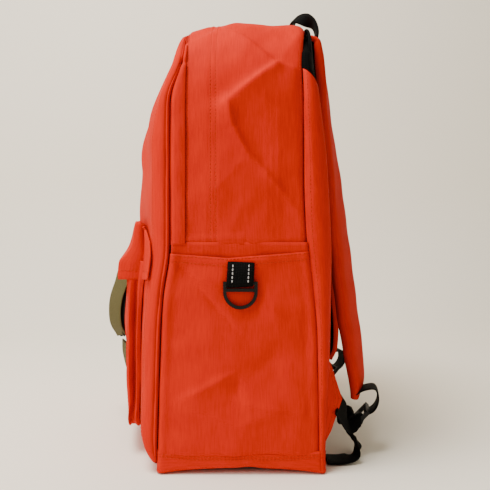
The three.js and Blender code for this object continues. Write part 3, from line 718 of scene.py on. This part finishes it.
def base():
    """The bottom, turned up all round. Its long edges arch a little off the floor."""
    corner = 5.0
    x1, y0, y1 = HALF_WIDTH + 1.0, float(parting(2)) + 0.4, float(back(0)) + 0.5
    centre_y, half_y = (y0 + y1) / 2, (y1 - y0) / 2
    outline = []
    for sx, sy, start in ((1, 1, 0), (-1, 1, 90), (-1, -1, 180), (1, -1, 270)):
        for step in range(7):
            a = math.radians(start + step * 90 / 6)
            outline.append((sx * (x1 - corner) + corner * math.cos(a),
                            centre_y + sy * (half_y - corner) + corner * math.sin(a)))
    outline = resample(np.array(outline + outline[:1]), 420)
    profile = [(0.0, BASE_RIM + 2.0), (-0.6, BASE_RIM - 0.5), (-0.4, 12), (-0.7, 7), (-0.9, 3.0),
               (-0.5, 1.0), (0.8, 0.3), (6, 0.4), (30, 0.9), (60, 1.2)]
    middle = np.array([0.0, centre_y])
    rows = []
    for inset, z in profile:
        scale = 1 - inset / np.array([x1, half_y])
        ring = middle + (outline - middle) * scale
        along = (ring[:, 1] - centre_y) / half_y
        arch = 6.0 * np.clip(1 - along**2, 0, 1) ** 0.8 + 1.2 * np.exp(-((along - 0.1) / 0.12) ** 2)
        near_side = np.clip((np.abs(ring[:, 0]) - (x1 - 30)) / 25, 0, 1)
        lifted = arch * near_side * np.clip(1 - z / 40, 0, 1)
        seam = 3.5 * (2 * np.abs(along) ** 3 - 1) * near_side * np.clip((z - 9) / 6, 0, 1)
        rows.append(np.stack([ring[:, 0], ring[:, 1], z + lifted + seam], 1))
    fine = np.array(rows).swapaxes(0, 1)
    fine[..., 0] += np.sign(fine[..., 0]) * ripples(fine[..., 1], fine[..., 2], 5, 50, 0.3)
    fine[-1] = fine[0]
    fine = fine[::-1]
    obj = cloth("base_cloth", fine, "pack", ORANGE, "base_panel", thick=1.6)
    obj.modifiers["thickness"].offset = 1 if inward(fine) else -1
    lines = [(fine[:, 1] - [0, 0, drop], fine[:, 1] - CENTRE) for drop in (0.6, 3.0)]
    stitches("base_stitching", lines, "pack", THREAD, CENTRE)


def inward(grid):
    """Whether a grid's normals look towards the pack's middle."""
    i, j = grid.shape[0] // 7, 2
    return float(np.dot(normals_of(grid)[i, j], grid[i, j] - CENTRE)) < 0


def resample(points, count):
    """The same line with evenly spaced points."""
    s = lengths_along(points)
    return points_at(s, points, np.linspace(0, s[-1], count))


# ---------------------------------------------------------------- the front section

DOME_FRONT, DOME_TOP_EDGE = -108.6, -56
DOME_FLAT, DOME_SHOULDER = 20, 300
TUCK, TUCK_HEIGHT = 13, 34


def dome(x, z):
    """The front's surface: fullest in the middle, rounded over at its edge, tucked in at its foot."""
    over = np.clip(np.abs(x) - DOME_FLAT, 0, None) / (HALF_WIDTH - DOME_FLAT)
    up = np.clip(z - DOME_SHOULDER, 0, None) / (HEIGHT - DOME_SHOULDER)
    out = np.clip(np.hypot(over, up), 1e-6, 1)
    rise = np.clip(up / out, 0, 1) ** 2
    edge = (parting(z) - 15) * (1 - rise) + DOME_TOP_EDGE * rise
    y = DOME_FRONT + (edge - DOME_FRONT) * out**1.3
    return y + TUCK * np.clip(1 - (z - FRONT_BOTTOM) / TUCK_HEIGHT, 0, 1) ** 2


def front_outline(count):
    """The front section's edge, from the right foot round over the top and back along the base."""
    x, z, _, _, _ = arch_line(2.0, FRONT_BOTTOM + 12)
    line = list(np.stack([x, z], 1))
    foot = 12
    for sign, start in ((-1, 180), (1, 270)):
        for step in range(1, 9):
            a = math.radians(start + step * 90 / 8)
            line.append(np.array([sign * (HALF_WIDTH - foot) + foot * math.cos(a),
                                  FRONT_BOTTOM + foot + foot * math.sin(a)]))
    line.append(line[0])
    return resample(np.array(line), count)


def front_section():
    """The gusset that runs round the front section, and the domed panel sewn into it."""
    loop = front_outline(520)
    tangent = np.gradient(loop, axis=0)
    outward = np.stack([tangent[:, 1], -tangent[:, 0]], 1)
    outward /= np.linalg.norm(outward, axis=1, keepdims=True)
    x, z = loop[:, 0], loop[:, 1]
    sag = 9 * over_top(z, 395, 45)
    near = parting(z) - 0.5
    round_over = np.minimum(17.0, (near - dome(x, z)) * 0.75)
    edge = dome(x, z) + round_over
    t = np.linspace(0, 1, 20)
    y = near[:, None] + (edge - near)[:, None] * t
    lift = 1.0 * np.sin(math.pi * t) - 1.8 * np.exp(-((y - near[:, None]) / 1.2) ** 2)
    lift = lift + ripples(z[:, None], y, 61, 70, 0.7) * np.minimum(1, t * 3)
    lift = lift + seam_dip(z[:, None] - 388, 3.0, 3.5) * (1 - t)
    lift = lift + seam_dip(z[:, None] - 418, 2.5, 3.5) * (1 - t) - sag[:, None]
    gusset = np.stack([x[:, None] + outward[:, :1] * lift, y, z[:, None] + outward[:, 1:] * lift], -1)
    gusset[-1] = gusset[0]
    cloth("front_gusset_cloth", gusset, "front_section", ORANGE, "front_gusset",
          outward=FRONT_CENTRE, lining=LINING)

    r = np.concatenate([np.linspace(1, 0.86, 26), np.linspace(0.85, 0.02, 60)])
    middle = np.array([0.0, 190.0])
    px = (x - outward[:, 0] * sag)[:, None] * r
    pz = middle[1] + (z - outward[:, 1] * sag - middle[1])[:, None] * r
    reach = np.linalg.norm(loop - middle, axis=1)
    inset = (1 - r) * reach[:, None] * 0.8
    rim = np.clip(1 - inset / np.maximum(round_over[:, None] * 1.2, 1e-6), 0, 1)
    fall = round_over[:, None] * (1 - np.sqrt(np.clip(1 - rim**2, 0, 1)))
    py = dome(px, pz) + fall
    py = py + ripples(px, pz, 71, 90, 1.0) * np.clip(inset / 20, 0, 1)
    panel = np.stack([px, py, pz], -1)
    panel[-1] = panel[0]
    cloth("front_panel_cloth", panel, "front_section", ORANGE, "front_panel",
          outward=FRONT_CENTRE, lining=LINING)
    stitches("front_stitching", [along_column(panel, 12 / 85)], "front_section", THREAD, FRONT_CENTRE)


def front_lining():
    z = np.linspace(FRONT_BOTTOM + 3, HEIGHT - 15, 80)[:, None]
    u = np.linspace(-1, 1, 60)
    x = u * half_width_at(z + 12, 3.0)
    y = parting(z) - 1.6 + 0 * x + ripples(x, z, 81, 80, 0.35)
    grid = np.stack([x, y, z + 0 * x], -1)
    cloth("front_lining_cloth", grid, "front_section", LINING, "front_lining", thick=0.6,
          outward=FRONT_CENTRE)


# ---------------------------------------------------------------- the front pocket and flap

POCKET = {"half": 100.0, "low": 25.0, "top": 197.0, "corner": 20.0}


def pocket_loop(count, grow=0.0):
    """Down the right side of the pocket, round its bottom and up the left, with normals."""
    half, low, corner = POCKET["half"] + grow, POCKET["low"] - grow, POCKET["corner"]
    line = [(half, POCKET["top"])]
    for sign, start in ((1, 0), (-1, -90)):
        for step in range(9):
            a = math.radians(start - step * 90 / 8)
            line.append((sign * (half - corner) + corner * math.cos(a),
                         low + corner + corner * math.sin(a)))
    line.append((-half, POCKET["top"]))
    loop = resample(np.array(line), count)
    tangent = np.gradient(loop, axis=0)
    out = np.stack([-tangent[:, 1], tangent[:, 0]], 1)
    return loop, out / np.linalg.norm(out, axis=1, keepdims=True)


def pocket_front(x, z):
    """The pocket's face: fullest at half height, and drawn in towards its sides."""
    across = np.clip(np.abs(x) / POCKET["half"], 0, 1)
    full = -121 - 2.5 * np.sin(np.clip((z - 20) / 180, 0, 1) * math.pi)
    return full + 11.5 * across**2


def front_pocket():
    """Folded side walls, then the face sewn to them."""
    loop, out = pocket_loop(300)
    x, z = loop[:, 0], loop[:, 1]
    flare = np.interp(z, [40, 140, 175, 200], [0, 0, 8, 26]) * np.sign(x)
    root = dome(x + flare, z) - 0.6
    face = pocket_front(x, z)
    fold = smooth_curve([(0, 0.5), (12, 1.4), (28, 2.4), (36, 0.5), (44, -4.0), (52, -3.6), (66, 1.2),
                         (85, 3.2), (96, 2.6), (100, 0.8)], 3)
    t = np.linspace(0, 1, 40)
    lift = fold(100 * t) * (1 - 0.75 * np.exp(-((z - POCKET["low"]) / 14) ** 2))[:, None]
    bulge = np.exp(-((z - POCKET["low"] - 12) / 11) ** 2) * (np.abs(x) > POCKET["half"] - 22)
    lift = lift + 2.6 * bulge[:, None] * np.sin(3 * math.pi * t) ** 2
    uneven = ripples(np.linspace(0, 500, 300)[:, None], t * 30, 91, 70, 0.8)
    lift = lift + uneven * np.sin(math.pi * t)
    y = root[:, None] + (face - root)[:, None] * t
    y = y - 2.5 * (bulge[:, None] * np.sin(math.pi * t))
    spread = flare[:, None] * (1 - t) ** 2
    walls = np.stack([x[:, None] + out[:, :1] * lift + spread, y, z[:, None] + out[:, 1:] * lift], -1)
    cloth("front_pocket_walls", walls, "front_section", ORANGE, "front_pocket_wall", thick=1.2,
          outward=FRONT_CENTRE)

    r = np.concatenate([np.linspace(1, 0.9, 14), np.linspace(0.89, 0.0, 50)])
    top = POCKET["top"]
    px = x[:, None] * r
    pz = top + (z - top)[:, None] * r
    inset = (1 - r) * np.hypot(x, z - top)[:, None]
    py = pocket_front(px, pz) + 1.8 * np.exp(-(inset / 2.5) ** 2)
    py = py - 0.9 * np.exp(-((inset - 4) / 2.2) ** 2) + ripples(px, pz, 95, 70, 0.9)
    py = py - crease(px, pz, (70, 160), (30, 60), 1.4, 9, 5, 2)
    py = py - crease(px, pz, (-60, 170), (-25, 80), 1.2, 6, 10, 2)
    grid = np.stack([px, py, pz], -1)
    cloth("front_pocket_cloth", grid, "front_section", ORANGE, "front_pocket_face", thick=1.2,
          outward=FRONT_CENTRE)
    stitches("front_pocket_stitching", [along_column(grid, 3.5 / 63)], "front_section", THREAD,
             FRONT_CENTRE)


# The flap from its seam to its free edge, as (y, z): along its middle and at its two ends.
FLAP_LINE = [(-104.5, 235), (-109.5, 237), (-112.5, 231), (-115, 222), (-119, 210), (-124.8, 199),
             (-127.2, 194), (-127.8, 188), (-127.4, 179.5)]
FLAP_END = [(-98, 235), (-102, 235.5), (-104, 229), (-105.3, 220), (-108, 210), (-115, 201),
            (-119.6, 196.3), (-121.2, 188), (-121.2, 178)]
FLAP_HALF = 102.5


def flap_lines(count):
    """The flap's two lines, each as y and z at evenly spaced points, and the spacing's lengths."""
    lines = []
    for line in (np.array(FLAP_LINE, float), np.array(FLAP_END, float)):
        s = lengths_along(line)
        at = np.linspace(0, s[-1], count)
        lines.append((spline(s, line[:, 0], at), spline(s, line[:, 1], at), at))
    return lines


def flap():
    """The flap's top and front band in one cloth, gathered where it is sewn on."""
    (y, z, at), (end_y, end_z, _) = flap_lines(44)
    u = np.linspace(-1, 1, 110)
    x = (u * FLAP_HALF)[:, None] + 0 * y
    ends = (np.abs(u) ** 3)[:, None]
    gathers = np.exp(-(at / 14) ** 2) * (1 - ends)
    yy = y * (1 - ends) + end_y * ends + 0.8 * np.sin(u * 37)[:, None] * gathers
    zz = z * (1 - ends) + end_z * ends + 0.9 * np.sin(u * 31 + 1)[:, None] * gathers
    yy = yy + ripples(x, at, 101, 60, 0.6) * (1 - ends)
    grid = np.stack([x, yy, zz], -1)
    cloth("flap_cloth", grid, "front_flap", ORANGE, "flap_cover", thick=1.6, outward=FRONT_CENTRE)
    stitches("flap_stitching", [along_column(grid, 0.955), along_column(grid, 0.74)], "front_flap",
             THREAD, FRONT_CENTRE)


def flap_wing(hand):
    """The flap's end: back along the side of the pocket, then out over the front section."""
    side = SIDES[hand]
    _, (start_y, start_z, _) = flap_lines(50)
    t = np.linspace(0, 1, 40)
    end_x = np.interp(start_z, [178, 205, 222, 236], [143.5, 142, 134, 112])
    corner = FLAP_HALF
    bend = 0.42
    wall = np.clip(t / bend, 0, 1)
    out = np.clip((t - bend) / (1 - bend), 0, 1)
    x = corner + (end_x - corner)[:, None] * out
    z = start_z[:, None] - np.interp(start_z, [178, 236], [0.0, 7.0])[:, None] * (wall + out) / 2
    z = z + 3.5 * out * np.interp(start_z, [178, 215], [1, 0])[:, None]
    turn_y = np.maximum(dome(corner + 2, z) - 2.5, start_y[:, None])
    y = start_y[:, None] + (turn_y - start_y[:, None]) * wall
    y = np.where(out > 0, dome(x, z) - 2.2 - 1.6 * np.sin(math.pi * out), y)
    x = x + 1.6 * np.sin(math.pi * wall) - 1.0 * np.exp(-((t - bend) / 0.05) ** 2)
    x = x + ripples(y, z, 111, 40, 0.5) * wall + seam_dip(z - 186, 0.5, 1.2) * wall
    grid = np.stack([side * x, y, z], -1)
    cloth(f"flap_wing_{hand}", grid, "front_flap", ORANGE, f"flap_side_{hand}", thick=1.4,
          outward=FRONT_CENTRE)
    stitches(f"flap_wing_stitching_{hand}", [along_row(grid, 0.86), along_column(grid, bend + 0.06)],
             "front_flap", THREAD, FRONT_CENTRE)


TWIST = math.radians(31)
TURNED = (-math.cos(TWIST), -math.sin(TWIST), 0)


def olive_straps():
    path = [(-128, 190), (-131, 178), (-136.5, 162), (-141.5, 146), (-143, 130), (-141, 114),
            (-135, 103)]
    stations = [((0, y, z), (-1, 0, 0) if i == 0 else TURNED) for i, (y, z) in enumerate(path)]
    ribbon("closure_strap_webbing", stations, 38, 2.4, "front_flap", OLIVE, "closure_strap")
    backing = [((x, y + 4.2, z), way) for (x, y, z), way in stations[1:]]
    ribbon("closure_strap_backing", backing, 33, 5.5, "front_flap", BLACK_WEBBING)
    path = [(-123.0, 42), (-125.5, 54), (-128.6, 68), (-130.6, 82), (-130.6, 95)]
    ways = [(-1, -0.02, 0), (-1, -0.12, 0), (-1, -0.25, 0), (-1, -0.32, 0), (-1, -0.34, 0)]
    stations = [((0, y, z), way) for (y, z), way in zip(path, ways)]
    ribbon("lower_strap_webbing", stations, 36, 2.8, "front_section", OLIVE, "lower_strap", 30)


# ---------------------------------------------------------------- tabs, rings and straps

def ring_tab(hand):
    """Webbing folded round the ring's bar, with two rows of pale dashes sewn down it."""
    side = SIDES[hand]
    face, bar = POCKET_FACE + 2.4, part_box(f"d_ring_{hand}")
    bar_x = (bar[0][0] + bar[1][0]) / 2 / MM * side
    lean = math.tan(math.radians(3.5))
    path = [(face, 198.5), (bar_x + 2.1, 191), (bar_x + 2.5, 183), (bar_x + 2.4, 178), (bar_x, 176.0),
            (bar_x - 2.4, 178.5), (face - 0.6, 184)]
    stations = [((side * x, 1 + (z - 186) * lean, z), (0, 1, lean)) for x, z in path]
    ribbon(f"ring_tab_webbing_{hand}", stations, WEBBING, 1.4, "pack", BLACK_WEBBING,
           f"ring_tab_{hand}", 50)
    lines = []
    for offset in (-7.4, 7.4):
        down = [(face + 1.2, 198.5), (bar_x + 2.9, 191), (bar_x + 3.3, 183), (bar_x + 3.1, 178)]
        points = np.array([[side * px, 1 + offset + (pz - 186) * lean, pz] for px, pz in down])
        lines.append((resample(points, 30), np.tile([side, 0.0, 0.0], (30, 1))))
    stitches(f"ring_tab_dashes_{hand}", lines, "pack", GREY_THREAD, CENTRE, 3.6, 2.6, 0.5)


STRAP_LINE = [
    # x, y, z, width, turn in degrees, thickness
    (45, 80, 437, 56, 0, 8),
    (45, 88, 433, 58, 0, 10),
    (46, 94, 420, 60, 4, 12),
    (49, 99, 390, 61, 10, 13),
    (53, 103, 350, 62, 15, 13),
    (60, 108, 295, 62, 20, 13),
    (70, 115.5, 214, 60, 25, 13),
    (80, 123, 137, 54, 26, 13),
    (86, 128.5, 88, 44, 26, 12),
    (89, 129, 66, 34, 24, 11),
    (90, 126, 55, 27, 20, 8),
]


def strap_sections(hand, samples=150):
    side = SIDES[hand]
    table = np.array(STRAP_LINE, float)
    points = table[:, :3] * [side, 1, 1]
    knots = lengths_along(points)
    s = np.linspace(0, knots[-1], samples)
    centre = smooth_points(knots, points, s)
    width, turn, thick = (spline(knots, table[:, k], s) for k in (3, 4, 5))
    turn = np.radians(turn)
    across = np.stack([side * np.cos(turn), -np.sin(turn), 0 * turn], 1)
    tangent = unit(np.gradient(centre, axis=0))
    outward = np.cross(tangent, across) * side
    outward *= np.sign(outward[len(s) // 2, 1])
    return centre, across, outward, width, thick, s


def shoulder_strap(hand):
    """A padded strap: orange cloth over the outside and both edges, mesh on the inside."""
    centre, across, outward, width, thick, s = strap_sections(hand)
    centre = centre - outward * (thick / 2)[:, None]
    body = f"shoulder_strap_{hand}"
    flat, tall = oval(np.linspace(-0.22 * math.pi, 1.22 * math.pi, 40), 0.42, 0.85)
    quilt = 1 + 0.05 * np.sin(s / 23)[:, None]
    wobble = ripples(s[:, None], flat * 30, 121, 60, 0.5)
    outer = (centre[:, None] + across[:, None] * (flat[None, :, None] * (width / 2)[:, None, None])
             + outward[:, None] * ((tall * (thick / 2)[:, None] * quilt + wobble)[..., None]))
    seam = np.exp(-((np.abs(flat) - 0.93) / 0.02) ** 2)[None, :, None]
    outer = outer - outward[:, None] * seam * 0.9
    pad = cloth(f"strap_pad_{hand}", outer, body, ORANGE,
                (f"strap_cover_{hand}", f"strap_foam_{hand}"), thick=1.2)
    turned = float(np.dot(normals_of(outer)[60, 20], outward[60])) < 0
    pad.modifiers["thickness"].offset = 1 if turned else -1
    flat, tall = oval(np.linspace(1.2 * math.pi, 1.8 * math.pi, 24), 0.42, 0.85)
    inner = (centre[:, None] + across[:, None] * (flat[None, :, None] * (width / 2 - 0.8)[:, None, None])
             + outward[:, None] * (tall[None, :, None] * (thick / 2)[:, None, None]))
    cloth(f"strap_lining_{hand}", inner, body, MESH, f"strap_mesh_{hand}", thick=0)
    cap_ends(hand, outer, body)
    edge_lines = [along_column(outer, f) for f in (0.26, 0.74)]
    stitches(f"strap_stitching_{hand}", edge_lines, body, THREAD, centre[75] - outward[75] * 40)


def cap_ends(hand, shell, body):
    """Closes the strap's two ends with the cloth turned in."""
    for which, ring in (("top", shell[0]), ("tip", shell[-1])):
        middle = ring.mean(0)
        rings = np.stack([middle + (ring - middle) * k for k in (1.0, 0.7, 0.35, 0.02)])
        cloth(f"strap_{which}_{hand}", rings, body, ORANGE, thick=0)


LOCK_TOP = (92.0, 134.0, 45.0)
LOCK_LEAN, LOCK_TURN = 42, -12  # degrees


def lock_frame(hand):
    """The ladder lock's middle, and its direction from its top bar to its lower bar."""
    side = SIDES[hand]
    lean, turn = math.radians(LOCK_LEAN), math.radians(LOCK_TURN)
    down = np.array([0, -math.sin(lean), -math.cos(lean)])
    along = np.array([down[0] * math.cos(turn) - down[1] * math.sin(turn),
                      down[0] * math.sin(turn) + down[1] * math.cos(turn), down[2]])
    across = np.array([math.cos(turn), math.sin(turn), 0])
    top = np.array(LOCK_TOP)
    mirror = np.array([side, 1, 1])
    return top * mirror, along * mirror, across * mirror


def strap_webbing(hand):
    """The webbing loop that hangs the lock from the strap, and the webbing to the pack."""
    side = SIDES[hand]
    top, along, across = lock_frame(hand)
    out = np.cross(along, across) * side
    out *= np.sign(out[1])
    tip = np.array([side * 90.0, 121.0, 60.0])
    bar = top + along * 2.0
    path = [tip, tip + [side * 0.5, 9, 5], [side * 91.5, 141.5, 66], [side * 92, 144.5, 56],
            bar + out * 3.6 + [0, 2, 2], bar + along * 2.6 + out * 0.5, bar - out * 3.0]
    ribbon(f"strap_link_webbing_{hand}", [(p, across) for p in path], WEBBING - 1, 2.0,
           f"shoulder_strap_{hand}", BLACK_WEBBING, f"strap_link_{hand}", 50)
    slot = top + along * 18.5
    path = [[side * 130, 95.5, 61], [side * 122, 103, 49], [side * 108, 110, 36],
            slot - out * 3.4 - along * 1.0, slot + out * 0.2 + along * 2.0, slot + out * 3.6 - along * 2,
            slot + out * 5.0 + along * 10, [side * 106, 118, 12], [side * 114, 114, 4.5],
            [side * 117, 103, 2.2], [side * 117.5, 86, 2.2]]
    tilt = np.array([side * 0.75, -0.35, -0.5])
    ways = [tilt, tilt] + [across] * 6 + [np.array([side, -0.1, 0])] * 3
    webbing = ribbon(f"anchor_webbing_cloth_{hand}", list(zip(path, ways)), WEBBING, 2.0, None,
                     BLACK_WEBBING, f"anchor_webbing_{hand}", 90)
    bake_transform(webbing)


def wing(hand):
    """A double triangle of cloth from the foot of the back, sewn round its edge."""
    side = SIDES[hand]
    rows = np.linspace(0, 1, 50)
    z = 4 + 98 * rows
    edge = np.interp(z, [0, 25, 36, 66, 102], [79, 83.5, 89, 99.5, 88.0])
    root = np.interp(z, [0, 102], [76, 85.0])
    t = np.linspace(0, 1, 16)
    y = root[:, None] + (edge - root)[:, None] * t
    x = 139 - 6 * t + ripples(y, z[:, None], 131, 30, 0.6) + 0.8 * np.sin(math.pi * t)
    grid = np.stack([side * x, y, z[:, None] + 0 * y], -1)
    cloth(f"wing_cloth_{hand}", grid, "pack", ORANGE, f"wing_{hand}", thick=2.4, outward=CENTRE)
    lines = [along_column(grid, 0.82), along_column(grid, 0.62)]
    stitches(f"wing_stitching_{hand}", lines, "pack", THREAD, CENTRE)


def haul_handle():
    """The loop leans forward and turns to lie flat along its top."""
    stations = [((52, 86, 431), (1, 0, 0)), ((51, 88, 443), (1, 0, 0)), ((47, 85, 455), (1, 0.1, 0.1)),
                ((38, 76, 463), (0.6, 0.5, 0.6)), ((26, 69, 467.5), (0.2, 0.7, 0.7)),
                ((4, 66, 466.5), (0, 0.75, 0.65)), ((-25, 66, 460), (0, 0.75, 0.65)),
                ((-46, 76, 453), (0.4, 0.8, 0.3)), ((-53, 86, 444), (1, 0.1, 0)),
                ((-54, 86, 431), (1, 0, 0))]
    widths = (20, 17, 11, 11, 11, 14, 18)
    ribbon("haul_loop_webbing", stations, widths, 3.2, "haul_handle", BLACK_WEBBING, "haul_handle", 90)


# ---------------------------------------------------------------- inside

def laptop_sleeve():
    """A padded pocket, quilted across."""
    low, high = (np.array(corner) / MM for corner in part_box("laptop_sleeve"))
    z = np.linspace(low[2], high[2], 70)[:, None]
    u = np.linspace(-1, 1, 90)
    half = high[0]
    y = low[1] + 1.5 + (high[1] - low[1] - 4) * np.clip((np.abs(u) - 0.93) / 0.07, 0, 1) ** 2
    y = y + 1.3 * np.exp(-(((z - low[2]) % 45 - 22) / 3) ** 2) * (np.abs(u) < 0.93)
    x = u * half * (1 + 0 * z)
    grid = np.stack([x, y + 0 * x, z + 0 * x], -1)
    sleeve = cloth("laptop_sleeve_cloth", grid, "pack", LINING, "laptop_sleeve", thick=4.0,
                   outward=(0, 100, 200))


def finish_hardware():
    """Rounds the edges of the CAD's hard pieces, and gives each its material."""
    hard = {"buckle_base": PLASTIC, "buckle_hook": PLASTIC}
    hard |= {f"{piece}_{hand}": PLASTIC for piece in ("d_ring", "ladder_lock") for hand in SIDES}
    hard |= {f"zip_{piece}_{which}": PAINTED_METAL
             for piece in ("slider", "pull") for which in ("upper", "lower")}
    hard |= {"frame_sheet": BOARD, "base_board": BOARD}
    for name, material in hard.items():
        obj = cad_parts[name]
        obj.data.materials.clear()
        obj.data.materials.append(material)
        if material is BOARD:
            continue
        edge = obj.modifiers.new("rounded", "BEVEL")
        edge.width = 0.7 * MM
        edge.segments = 3
        edge.limit_method = "ANGLE"
        edge.harden_normals = False


# ---------------------------------------------------------------- camera, floor and light

def camera():
    data = bpy.data.cameras.new("camera")
    data.lens = 43.42
    data.sensor_width = 36
    obj = bpy.data.objects.new("camera", data)
    data.shift_x, data.shift_y = 0.047, -0.041
    obj.location = (0.700, -0.016, 0.233)
    obj.rotation_euler = Vector((-1, 0, 0)).to_track_quat("-Z", "Y").to_euler()
    bpy.context.scene.collection.objects.link(obj)
    bpy.context.scene.camera = obj


def floor():
    material, nodes, links, surface = shader("pale_floor", linear(250, 243, 229), 0.8, 0.1)
    noise = node(nodes, "ShaderNodeTexNoise", Scale=9.0, Detail=6.0)
    pale = tones(nodes, links, noise.outputs["Fac"], linear(249, 242, 228), linear(252, 246, 233))
    links.new(pale, surface.inputs["Base Color"])
    front_x, back_x, bend, height, half_width = 5.0, -0.9, 0.35, 4.0, 6.0
    profile = [(front_x, 0.0), (0.8, 0.0), (0.0, 0.0), (back_x + bend, 0.0)]
    for step in range(1, 13):
        a = step * math.pi / 24
        profile.append((back_x + bend - bend * math.sin(a), bend - bend * math.cos(a)))
    profile.append((back_x, height))
    vertices = [(x / MM, side * half_width / MM, z / MM) for x, z in profile for side in (-1, 1)]
    faces = [(2 * i, 2 * i + 1, 2 * i + 3, 2 * i + 2) for i in range(len(profile) - 1)]
    obj = new_object("backdrop", vertices, faces)
    obj.data.materials.append(material)


def lamp(name, place, target, size, power, colour=(1, 1, 1)):
    data = bpy.data.lights.new(name, "AREA")
    data.shape = "RECTANGLE"
    data.size, data.size_y = size
    data.energy = power
    data.color = colour
    obj = bpy.data.objects.new(name, data)
    obj.location = place
    direction = Vector(target) - Vector(place)
    obj.rotation_euler = direction.to_track_quat("-Z", "Y").to_euler()
    bpy.context.scene.collection.objects.link(obj)


def lights():
    lamp("overhead", (0.35, -0.45, 1.6), (0, 0, 0.25), (0.7, 0.7), 36, (1.0, 0.97, 0.91))
    lamp("window_side", (1.0, -1.4, 1.0), (0, 0, 0.2), (0.8, 0.8), 19, (1.0, 0.98, 0.94))
    world = bpy.data.worlds.new("studio")
    world.use_nodes = True
    background = world.node_tree.nodes["Background"]
    background.inputs["Color"].default_value = linear(240, 229, 210)
    background.inputs["Strength"].default_value = 0.5
    bpy.context.scene.world = world


# ---------------------------------------------------------------- everything, in order

upper_gusset()
zip_strip()
zip_half("zip_tape_pack", "zip_half_pack", "pack", 1)
zip_half("zip_tape_front", "zip_half_front", "front_section", -1)
back_pad()
back_wrap()
base()
front_section()
front_lining()
front_pocket()
flap()
olive_straps()
haul_handle()
laptop_sleeve()
for hand, seed in (("right", 1), ("left", 2)):
    lower_side(hand)
    side_pocket(hand, 10 * seed)
    rear_gusset(hand, 20 * seed)
    ring_tab(hand)
    flap_wing(hand)
    shoulder_strap(hand)
    strap_webbing(hand)
    wing(hand)
finish_hardware()
camera()
floor()
lights()
